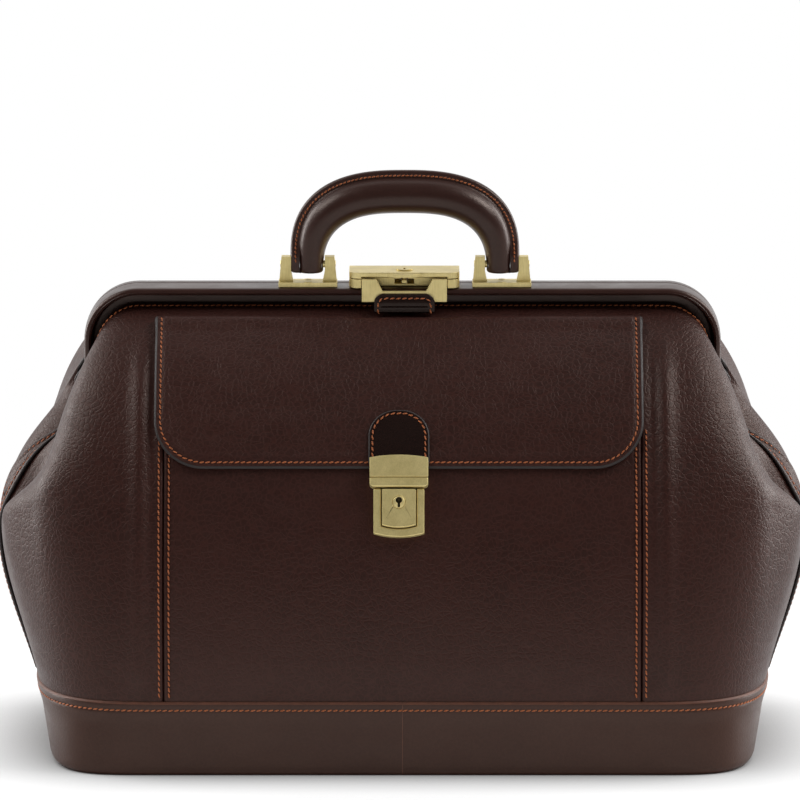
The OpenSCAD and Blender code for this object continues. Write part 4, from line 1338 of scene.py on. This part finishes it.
def tuck_key(form, flap):
    """Plug of the pocket lock: a brass disc with a keyhole whose walls and floor are painted dark as shade.
    """
    angles = np.linspace(0.0, 2 * math.pi, PLUG_STEPS, endpoint=False) + math.pi / PLUG_STEPS
    facing = np.stack([np.cos(angles), np.sin(angles)], axis=-1)
    hole = keyhole(angles)[:, None] * facing + np.array([0.0, KEYHOLE_UP])
    across = facing @ np.array([0.0, KEYHOLE_UP])
    to_rim = -across + np.sqrt(across ** 2 + PLUG_R ** 2 - KEYHOLE_UP ** 2)
    disc = to_rim[:, None] * facing + np.array([0.0, KEYHOLE_UP])
    inner = hole * 0.9 + np.array([0.0, 0.1 * KEYHOLE_UP])
    rings = [(disc, PLUG_BACK), (disc, PLUG_FRONT - 0.0002), (disc * 0.955, PLUG_FRONT),
             (hole + 0.00034 * facing, PLUG_FRONT), (hole + 0.00014 * facing, PLUG_FRONT + 0.0001),
             (hole, PLUG_FRONT - 0.0001), (inner, PLUG_FRONT - 0.0005), (inner, PLUG_FRONT - 0.0026)]
    out = form.outward(0.0, TUCK_V)
    up = np.array([0.0, out[2], -out[1]])
    start = form.skin(0.0, TUCK_V) + KEY_Z * up + np.array([flap.shift, 0.0, 0.0])
    grid = np.array([start + ring[:, :1] * np.array([1.0, 0.0, 0.0]) + ring[:, 1:] * up + depth * out
                     for ring, depth in rings])
    verts, faces = sweep(grid)
    obj = outward(piece("tuck_key_plug_metal", verts, faces, [FINISHES["brass"], FINISHES["bronze"]]))
    # Walls and floor of the keyhole take the near-black finish: painted shade for the depth of the hole
    dark = np.zeros(len(obj.data.polygons), np.int32)
    dark[HOLE_BANDS[0] * PLUG_STEPS:HOLE_BANDS[1] * PLUG_STEPS] = 1
    dark[-PLUG_STEPS:] = 1
    obj.data.polygons.foreach_set("material_index", dark)
    return fit(obj, "tuck_key", ["tuck_key_plug"])


def bare_nodes():
    """Finishes of the frame nodes that stay as they are."""
    steel = ["front_frame", "hinge_pins", "handle_core", "tuck_backplate", "tuck_spring"]
    for names, finish in ((steel, "steel"), (["base_board"], "board")):
        for name in names:
            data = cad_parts[name].data
            data.materials.clear()
            data.materials.append(FINISHES[finish])
    obj = bevelled_copy("bottom_panel", "bottom_panel_leather", 0.0008, FINISHES["base"])
    fit(obj, "bag", ["bottom_panel"])


# Sewing

def stitch_tree(material):
    """Geometry Nodes tree that lays stitches along edges, standing on their outward attribute."""
    tree = bpy.data.node_groups.new("stitch_row", "GeometryNodeTree")
    sockets = tree.interface
    sockets.new_socket("Geometry", in_out="INPUT", socket_type="NodeSocketGeometry")
    for name in ("Pitch", "Length", "Width", "Height", "Lean"):
        sockets.new_socket(name, in_out="INPUT", socket_type="NodeSocketFloat")
    sockets.new_socket("Geometry", in_out="OUTPUT", socket_type="NodeSocketGeometry")
    given = node(tree, "NodeGroupInput").outputs
    curve = node(tree, "GeometryNodeMeshToCurve", {0: given["Geometry"]}).outputs[0]
    rows = node(tree, "GeometryNodeResampleCurve", {"Curve": curve, "Length": given["Pitch"]}, mode="LENGTH")
    upward = node(tree, "GeometryNodeInputNamedAttribute", {"Name": "outward"}, data_type="FLOAT_VECTOR")
    along = node(tree, "GeometryNodeInputTangent").outputs[0]
    stand = node(tree, "FunctionNodeAlignRotationToVector", {
        "Vector": upward.outputs["Attribute"]}, axis="Z")
    turn = node(tree, "FunctionNodeAlignRotationToVector", {
        "Rotation": stand.outputs[0], "Vector": along}, axis="X", pivot_axis="Z")
    lean = node(tree, "ShaderNodeCombineXYZ", {"Z": given["Lean"]}).outputs[0]
    leaning = node(tree, "FunctionNodeEulerToRotation", {0: lean}).outputs[0]
    final = node(tree, "FunctionNodeRotateRotation", {
        "Rotation": turn.outputs[0], "Rotate By": leaning}, rotation_space="LOCAL").outputs[0]
    bead = node(tree, "GeometryNodeMeshUVSphere", {"Segments": 8, "Rings": 6, "Radius": 0.5}).outputs[0]
    size = node(tree, "ShaderNodeCombineXYZ", {
        "X": given["Length"], "Y": given["Width"], "Z": given["Height"]}).outputs[0]
    stitch = node(tree, "GeometryNodeTransform", {"Geometry": bead, "Scale": size}).outputs[0]
    laid = node(tree, "GeometryNodeInstanceOnPoints", {
        "Points": rows.outputs[0], "Instance": stitch, "Rotation": final}).outputs[0]
    real = node(tree, "GeometryNodeRealizeInstances", {0: laid}).outputs[0]
    soft = node(tree, "GeometryNodeSetShadeSmooth", {0: real}).outputs[0]
    done = node(tree, "GeometryNodeSetMaterial", {"Geometry": soft, "Material": material}).outputs[0]
    node(tree, "NodeGroupOutput", {0: done})
    return tree


def stitch_object(name, rows, sizes, tree, pitch_scale=1.0):
    """One mesh of stitches along rows of points and outward directions."""
    points, outs, edges = [], [], []
    for line, out in rows:
        start = len(points)
        points += line.tolist()
        outs += np.broadcast_to(out, line.shape).tolist()
        edges += [(start + i, start + i + 1) for i in range(len(line) - 1)]
    mesh = bpy.data.meshes.new(name)
    mesh.from_pydata(points, edges, [])
    mesh.attributes.new("outward", "FLOAT_VECTOR", "POINT").data.foreach_set("vector", np.ravel(outs))
    obj = bpy.data.objects.new(name, mesh)
    bpy.context.scene.collection.objects.link(obj)
    rows_modifier = obj.modifiers.new("stitches", "NODES")
    rows_modifier.node_group = tree
    values = {"Pitch": sizes.pitch * pitch_scale, "Length": sizes.run * pitch_scale, "Width": sizes.width,
              "Height": sizes.height, "Lean": sizes.lean}
    for item in tree.interface.items_tree:
        if item.in_out == "INPUT" and item.name in values:
            rows_modifier[item.identifier] = values[item.name]
    applied(obj)
    if not obj.data.polygons:
        raise RuntimeError(f"{name}: no stitches were made")
    return obj


def skin_row(form, us, vs, lift):
    """Row of sewing on the front half, with its outward directions."""
    line, out = form.skin(us, vs), form.outward(us, vs)
    return line + out * lift, out


def to_left(row):
    return row[0] * TO_LEFT, row[1] * TO_LEFT


def to_back(row):
    return row[0] * TO_BACK, row[1] * TO_BACK


# How far the thread's middle lies over the leather
THREAD_UP = 0.0002
# How far the mouth's sewing reaches round to the sides, and where the sewing of the seams begins and ends
SEWN_U = 0.667
SEAM_LOW_V = 0.02
SEAM_TOP_V = 0.62
BACK_TOP_V = 0.97
# Handle: its stitches against the others, the points of its rows and how many stay bare at each end
HANDLE_PITCH = 0.72
HANDLE_POINTS = 400
HANDLE_BARE = 14


def edge_row(form):
    """Row along the sewn edge of one half of the mouth."""
    us = np.linspace(-SEWN_U, SEWN_U, 500)
    step = 0.01
    slope = np.linalg.norm(form.skin(us, TOP_V) - form.skin(us, TOP_V - step), axis=-1) / step
    return skin_row(form, us, TOP_V - MOUTH_SEWN / slope, THREAD_UP)


def seam_row(form, x, v_low, v_high, lift):
    """Row along the right seam, at a distance from the middle."""
    vs = np.linspace(v_low, v_high, 120)
    us = form.u_at(vs, np.full_like(vs, x), 0)
    return skin_row(form, us, vs, lift)


def band_row(form):
    """Row along the top of the right half of the base band."""
    body = form.body
    ps = np.linspace(0.004, 1.996, 700)
    line = form.band(ps, body.band_height - BAND_SEWN, -body.band_lip * 0.75)
    out = np.stack([np.gradient(line[:, 1]), -np.gradient(line[:, 0]), np.zeros(len(ps))], axis=-1)
    return line, unit(out)


def strip_row(forms, across):
    """Row along the right side strip."""
    vs = np.linspace(0.02, 0.95, 120)
    line = np.concatenate([strip_points(forms, np.array([across]), [v]) for v in vs])[:, 0]
    us = forms[0].u_at(vs, np.abs(line[:, 1]), 1)
    out = forms[0].outward(us, vs) * np.array([1.0, -np.sign(across), 1.0])
    return line + out * (STRIP_OUT - 0.0001), out


def lock_tab_row():
    """Row up one side of the top lock's tab, over its round top and down the other side."""
    low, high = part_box("lock_tab")
    half, radius = (high.x - low.x) / 2 - LOCK_TAB_SEWN, 0.0036
    turn = np.linspace(0.0, math.pi / 2, 20)
    arc_x = half - radius + radius * np.sin(turn)
    arc_z = high.z - LOCK_TAB_SEWN - radius + radius * np.cos(turn)
    foot = [low.z + 0.001]
    xs = np.concatenate([[-half], -arc_x[::-1], arc_x, [half]])
    zs = np.concatenate([foot, arc_z[::-1], arc_z, foot])
    line = np.stack([xs + (low.x + high.x) / 2, np.full(len(xs), low.y - 0.0003), zs], axis=-1)
    return line, np.array([0.0, -1.0, 0.0])


def body_rows(forms):
    """Sewing that stays with the body."""
    form = forms[0]
    seam = form.body.seam_half
    rows = [edge_row(form)]
    for row in (seam_row(form, seam + SEAM_SEWN_OUT, SEAM_LOW_V, SEAM_TOP_V, THREAD_UP),
                seam_row(form, seam - SEAM_SEWN_IN, SEAM_LOW_V, SEAM_TOP_V, THREAD_UP + 0.0001),
                band_row(form), strip_row(forms, -STRIP_SEWN), strip_row(forms, STRIP_SEWN)):
        rows += [row, to_left(row)]
    rows.append(lock_tab_row())
    return rows


def back_rows(form):
    """Sewing of the back."""
    rows = [to_back(edge_row(form))]
    for shift in (-BACK_SEWN, BACK_SEWN):
        row = to_back(seam_row(form, form.body.seam_half + shift, SEAM_LOW_V, BACK_TOP_V, THREAD_UP))
        rows += [row, to_left(row)]
    return rows


# Angles along a round corner of a row
QUARTER = np.linspace(0.0, math.pi / 2, 40)


def flap_row(form, flap):
    """Row down one side of the flap, along its lower edge and up the other side."""
    radius = flap.corner - FLAP_SEWN
    half = flap.half_w - FLAP_SEWN
    side = np.linspace(flap_height(form) - 0.003, flap.corner, 60)
    left_x = np.concatenate([np.full_like(side, -half), -half + radius * (1 - np.cos(QUARTER))])
    left_s = np.concatenate([side, FLAP_SEWN + radius * (1 - np.sin(QUARTER))])
    low_x = np.linspace(-half + radius, half - radius, 120)[1:-1]
    x = np.concatenate([left_x, low_x, -left_x[::-1]])
    s = np.concatenate([left_s, np.full_like(low_x, FLAP_SEWN), left_s[::-1]])
    line = flap_outside(form, flap, x, s)
    out = form.outward(0.0, v_at(form, FLAP_LOW_V, s))
    return line + out * THREAD_UP, out


def flap_tab_row(form, flap):
    """Row up one side of the flap's tab, over its round top and down the other side."""
    radius = flap.tab_round - TAB_SEWN
    half = flap.tab_half - TAB_SEWN
    round_s = tab_height(form) - flap.tab_round
    side = np.linspace(0.001, round_s, 30)
    left_x = np.concatenate([np.full_like(side, -half), -half + radius * (1 - np.cos(QUARTER))])
    left_s = np.concatenate([side, round_s + radius * np.sin(QUARTER)])
    x = np.concatenate([left_x, -left_x[::-1]])
    v = v_at(form, TAB_LOW_V, np.concatenate([left_s, left_s[::-1]]))
    height = flap.clear + flap.thick + flap.tab_thick + THREAD_UP
    y, z = form.front_line(v, np.full_like(v, -height))
    return np.stack([x + flap.shift, y, z], axis=-1), form.outward(0.0, v)


def handle_rows(mouth):
    """Sewing of the handle's flange, on both faces."""
    line, out = handle_line(mouth, HANDLE_POINTS)
    reach = handle_half_thick(mouth, line) - HANDLE_SEWN
    lift = flange_half(mouth, line) + 0.0001
    keep = slice(HANDLE_BARE, -HANDLE_BARE)
    rows = []
    for face in (-1.0, 1.0):
        row = np.stack([mouth.handle_shift + line[:, 0] + out[:, 0] * reach,
                        mouth.handle_y + face * lift,
                        line[:, 1] + out[:, 1] * reach], axis=-1)
        rows.append((row[keep], np.array([0.0, face, 0.0])))
    return rows


# Stage

# Share of the side lamps' power on the left and on the right
LEFT_SHARE = 0.85
RIGHT_SHARE = 1.35
# Half width of the floor, and how far from the bag's middle its shadow and painted contact shade reach
FLOOR_HALF = 12.0
SHADOW_REACH = 0.55
# How bright the floor glows where it is seen, and where it lights the bag from below
FLOOR_GLOW = 0.70
FLOOR_BOUNCE = 0.42


def stage_camera(settings):
    """Camera in front of the bag, a little above it."""
    target = Vector((settings.target_x, 0.0, settings.target_z))
    away = Vector((0.0, -math.cos(settings.elevation), math.sin(settings.elevation)))
    data = bpy.data.cameras.new("camera")
    data.lens = settings.lens
    data.sensor_width = 36.0
    data.clip_end = 100.0
    camera = bpy.data.objects.new("camera", data)
    camera.location = target + away * settings.distance
    camera.rotation_euler = (-away).to_track_quat("-Z", "Y").to_euler()
    bpy.context.scene.collection.objects.link(camera)
    bpy.context.scene.camera = camera


def area_lamp(name, place, size, power):
    """Lamp that is aimed at the bag."""
    aim = (0.0, 0.0, 0.15)
    data = bpy.data.lights.new(name, "AREA")
    data.shape = "RECTANGLE"
    data.size, data.size_y = size
    data.energy = power
    lamp = bpy.data.objects.new(name, data)
    lamp.location = place
    lamp.rotation_euler = (Vector(aim) - Vector(place)).to_track_quat("-Z", "Y").to_euler()
    bpy.context.scene.collection.objects.link(lamp)


def seen_directly(tree):
    """1 for rays from the camera, from a mirror and through glass."""
    path = node(tree, "ShaderNodeLightPath").outputs
    seen = combine(tree, "MAXIMUM", path["Is Camera Ray"], path["Is Glossy Ray"])
    return combine(tree, "MAXIMUM", seen, path["Is Transmission Ray"])


def white_glow(tree, strength):
    return node(tree, "ShaderNodeEmission", {"Color": (1, 1, 1, 1), "Strength": strength}).outputs[0]


def studio_floor(colours):
    """Pale floor that takes the shadow near the bag, with painted contact shade where the bag is close, and
    runs out to plain white.
    """
    material, tree, shader, place = new_finish("studio_floor")
    tree.nodes.remove(shader)
    away = node(tree, "ShaderNodeVectorMath", {0: place}, operation="LENGTH").outputs["Value"]
    far = ramp(tree, away, SHADOW_REACH * 0.5, SHADOW_REACH, 0.0, 1.0)
    grain = noise(tree, place, 40.0, 2.0)
    pale = [min(1.0, c * 1.02) for c in colours.floor]
    tint = blend_colours(tree, grain, colours.floor, pale)
    matt = node(tree, "ShaderNodeBsdfDiffuse", {"Color": tint}).outputs[0]
    # Painted contact shade: the glow seen on the floor dims where occlusion finds the bag close by
    contact_shade = node(tree, "ShaderNodeAmbientOcclusion", {"Distance": 0.05}, samples=16).outputs["AO"]
    glow = white_glow(tree, ramp(tree, contact_shade, 0.35, 1.0, 0.0, FLOOR_GLOW))
    faint = node(tree, "ShaderNodeBsdfDiffuse", {"Color": rgba(darker(colours.floor, 0.5))}).outputs[0]
    lit = node(tree, "ShaderNodeAddShader", {0: faint, 1: glow}).outputs[0]
    seen = node(tree, "ShaderNodeMixShader", {0: far, 1: lit, 2: white_glow(tree, 1.0)}).outputs[0]
    bounce = white_glow(tree, ramp(tree, away, SHADOW_REACH, SHADOW_REACH * 2, FLOOR_BOUNCE, 0.0))
    lighting = node(tree, "ShaderNodeAddShader", {0: matt, 1: bounce}).outputs[0]
    shown = node(tree, "ShaderNodeMixShader", {0: seen_directly(tree), 1: lighting, 2: seen}).outputs[0]
    tree.links.new(shown, tree.nodes["Material Output"].inputs["Surface"])
    corners = [(-FLOOR_HALF, -FLOOR_HALF, 0.0), (FLOOR_HALF, -FLOOR_HALF, 0.0),
               (FLOOR_HALF, FLOOR_HALF, 0.0), (-FLOOR_HALF, FLOOR_HALF, 0.0)]
    floor = piece("studio_floor", np.array(corners), [[0, 1, 2, 3]], [material])


def studio_world(settings):
    """White room to the camera, dim to the leather and darker in front to glossy surfaces."""
    world = bpy.data.worlds.new("studio")
    world.use_nodes = True
    tree = world.node_tree
    back = tree.nodes["Background"]
    back.inputs["Color"].default_value = (1, 1, 1, 1)
    place = node(tree, "ShaderNodeTexCoord").outputs["Generated"]
    towards = node(tree, "ShaderNodeSeparateXYZ", {0: place}).outputs
    path = node(tree, "ShaderNodeLightPath").outputs
    mirrored = combine(tree, "MAXIMUM", path["Is Glossy Ray"], path["Is Transmission Ray"])
    brightness = ramp(tree, towards["Y"], 0.0, 0.5, settings.front_gloss, 1.0)
    reflected = combine(tree, "MULTIPLY", mirrored, brightness)
    white = combine(tree, "MAXIMUM", path["Is Camera Ray"], reflected)
    tree.links.new(ramp(tree, white, 0.0, 1.0, settings.ambient, 1.0), back.inputs["Strength"])
    bpy.context.scene.world = world


def studio_lamps(settings):
    """One lamp over each side of the bag and one behind each side."""
    area_lamp("left", (-2.1, -0.3, 2.4), (1.4, 1.4), settings.side_power * LEFT_SHARE)
    area_lamp("right", (2.1, -0.3, 2.4), (1.4, 1.4), settings.side_power * RIGHT_SHARE)
    area_lamp("left_edge", (-1.9, 0.8, 0.7), (1.0, 1.6), settings.edge_power)
    area_lamp("right_edge", (1.9, 0.8, 0.7), (1.0, 1.6), settings.edge_power)


# Operators

def bag_forms(context):
    """The leather's form on the front and on the back."""
    scene = context.scene
    return (BagForm(scene.bag_body, scene.bag_frame, scene.bag_front_fold),
            BagForm(scene.bag_body, scene.bag_frame, scene.bag_back_fold))


class BagOperator:
    """Shared settings of the bag's operators."""
    bl_options = {"REGISTER", "UNDO"}


class BAG_OT_finishes(BagOperator, Operator):
    """Make the leather, metal, thread and cloth finishes"""
    bl_idname = "bag.finishes"
    bl_label = "Finishes"

    def execute(self, context):
        make_finishes(context.scene.bag_colours)
        return {"FINISHED"}


class BAG_OT_body(BagOperator, Operator):
    """Make the leather body, its strips and its lining"""
    bl_idname = "bag.body"
    bl_label = "Body"

    def execute(self, context):
        forms = bag_forms(context)
        front_leather(forms[0])
        pocket_front(forms[0])
        back_leather(forms[1])
        side_strips(forms)
        linings(forms)
        return {"FINISHED"}


class BAG_OT_base(BagOperator, Operator):
    """Make the base band"""
    bl_idname = "bag.base"
    bl_label = "Base band"

    def execute(self, context):
        base_bands(bag_forms(context)[0])
        return {"FINISHED"}


class BAG_OT_mouth(BagOperator, Operator):
    """Make the leather of the mouth frame and of the handle"""
    bl_idname = "bag.mouth"
    bl_label = "Frame and handle"

    def execute(self, context):
        frame_wraps(context.scene.bag_frame)
        back_steel(context.scene.bag_frame)
        handle_grip(context.scene.bag_frame)
        lock_tab()
        return {"FINISHED"}


class BAG_OT_flap(BagOperator, Operator):
    """Make the pocket flap and its tab"""
    bl_idname = "bag.flap"
    bl_label = "Flap"

    def execute(self, context):
        form = bag_forms(context)[0]
        pocket_flap(form, context.scene.bag_flap)
        flap_tab(form, context.scene.bag_flap)
        return {"FINISHED"}


class BAG_OT_fittings(BagOperator, Operator):
    """Make the brackets and locks and finish the bare frame nodes"""
    bl_idname = "bag.fittings"
    bl_label = "Fittings"

    def execute(self, context):
        brass_fittings()
        tuck_key(bag_forms(context)[0], context.scene.bag_flap)
        bare_nodes()
        return {"FINISHED"}


class BAG_OT_stitches(BagOperator, Operator):
    """Sew all seams"""
    bl_idname = "bag.stitches"
    bl_label = "Stitches"

    def execute(self, context):
        forms = bag_forms(context)
        sizes = context.scene.bag_stitch
        tree = stitch_tree(FINISHES["thread"])
        fit(stitch_object("body_stitches", body_rows(forms), sizes, tree), "bag")
        back = stitch_object("back_stitches", back_rows(forms[1]), sizes, tree)
        fit_bending(back)
        flap_sizes = context.scene.bag_flap
        rows = [flap_row(forms[0], flap_sizes), flap_tab_row(forms[0], flap_sizes)]
        fit(stitch_object("flap_stitches", rows, sizes, tree), "flap")
        rows = handle_rows(context.scene.bag_frame)
        handle = stitch_object("handle_stitches", rows, sizes, tree, HANDLE_PITCH)
        fit(handle, "handle")
        return {"FINISHED"}


class BAG_OT_stage(BagOperator, Operator):
    """Set the camera, lamps, floor and world"""
    bl_idname = "bag.stage"
    bl_label = "Stage"

    def execute(self, context):
        settings = context.scene.bag_stage
        context.scene.view_settings.view_transform = "Standard"
        stage_camera(settings)
        studio_floor(context.scene.bag_colours)
        studio_world(settings)
        studio_lamps(settings)
        return {"FINISHED"}


class BAG_PT_sidebar(Panel):
    """Lists the bag's operators"""
    bl_idname = "BAG_PT_sidebar"
    bl_label = "Framed leather bag"
    bl_space_type = "VIEW_3D"
    bl_region_type = "UI"
    bl_category = "Bag"

    def draw(self, context):
        for operator in OPERATORS:
            self.layout.operator(operator.bl_idname)


SETTINGS = {
    "bag_body": BagBodySizes,
    "bag_front_fold": BagFrontFold,
    "bag_back_fold": BagBackFold,
    "bag_frame": BagFrameSizes,
    "bag_flap": BagFlapSizes,
    "bag_stitch": BagStitchSizes,
    "bag_colours": BagColours,
    "bag_stage": BagStageSettings,
}
OPERATORS = (BAG_OT_finishes, BAG_OT_stage, BAG_OT_body, BAG_OT_base, BAG_OT_mouth, BAG_OT_flap,
             BAG_OT_fittings, BAG_OT_stitches)
CLASSES = (*SETTINGS.values(), *OPERATORS, BAG_PT_sidebar)


def register():
    for cls in CLASSES:
        bpy.utils.register_class(cls)
    for name, group in SETTINGS.items():
        setattr(bpy.types.Scene, name, PointerProperty(type=group))


def unregister():
    for name in SETTINGS:
        delattr(bpy.types.Scene, name)
    for cls in reversed(CLASSES):
        bpy.utils.unregister_class(cls)


def main():
    register()
    bpy.ops.bag.finishes()
    bpy.ops.bag.stage()
    bpy.ops.bag.body()
    bpy.ops.bag.base()
    bpy.ops.bag.mouth()
    bpy.ops.bag.flap()
    bpy.ops.bag.fittings()
    bpy.ops.bag.stitches()


if __name__ == "__main__":
    main()
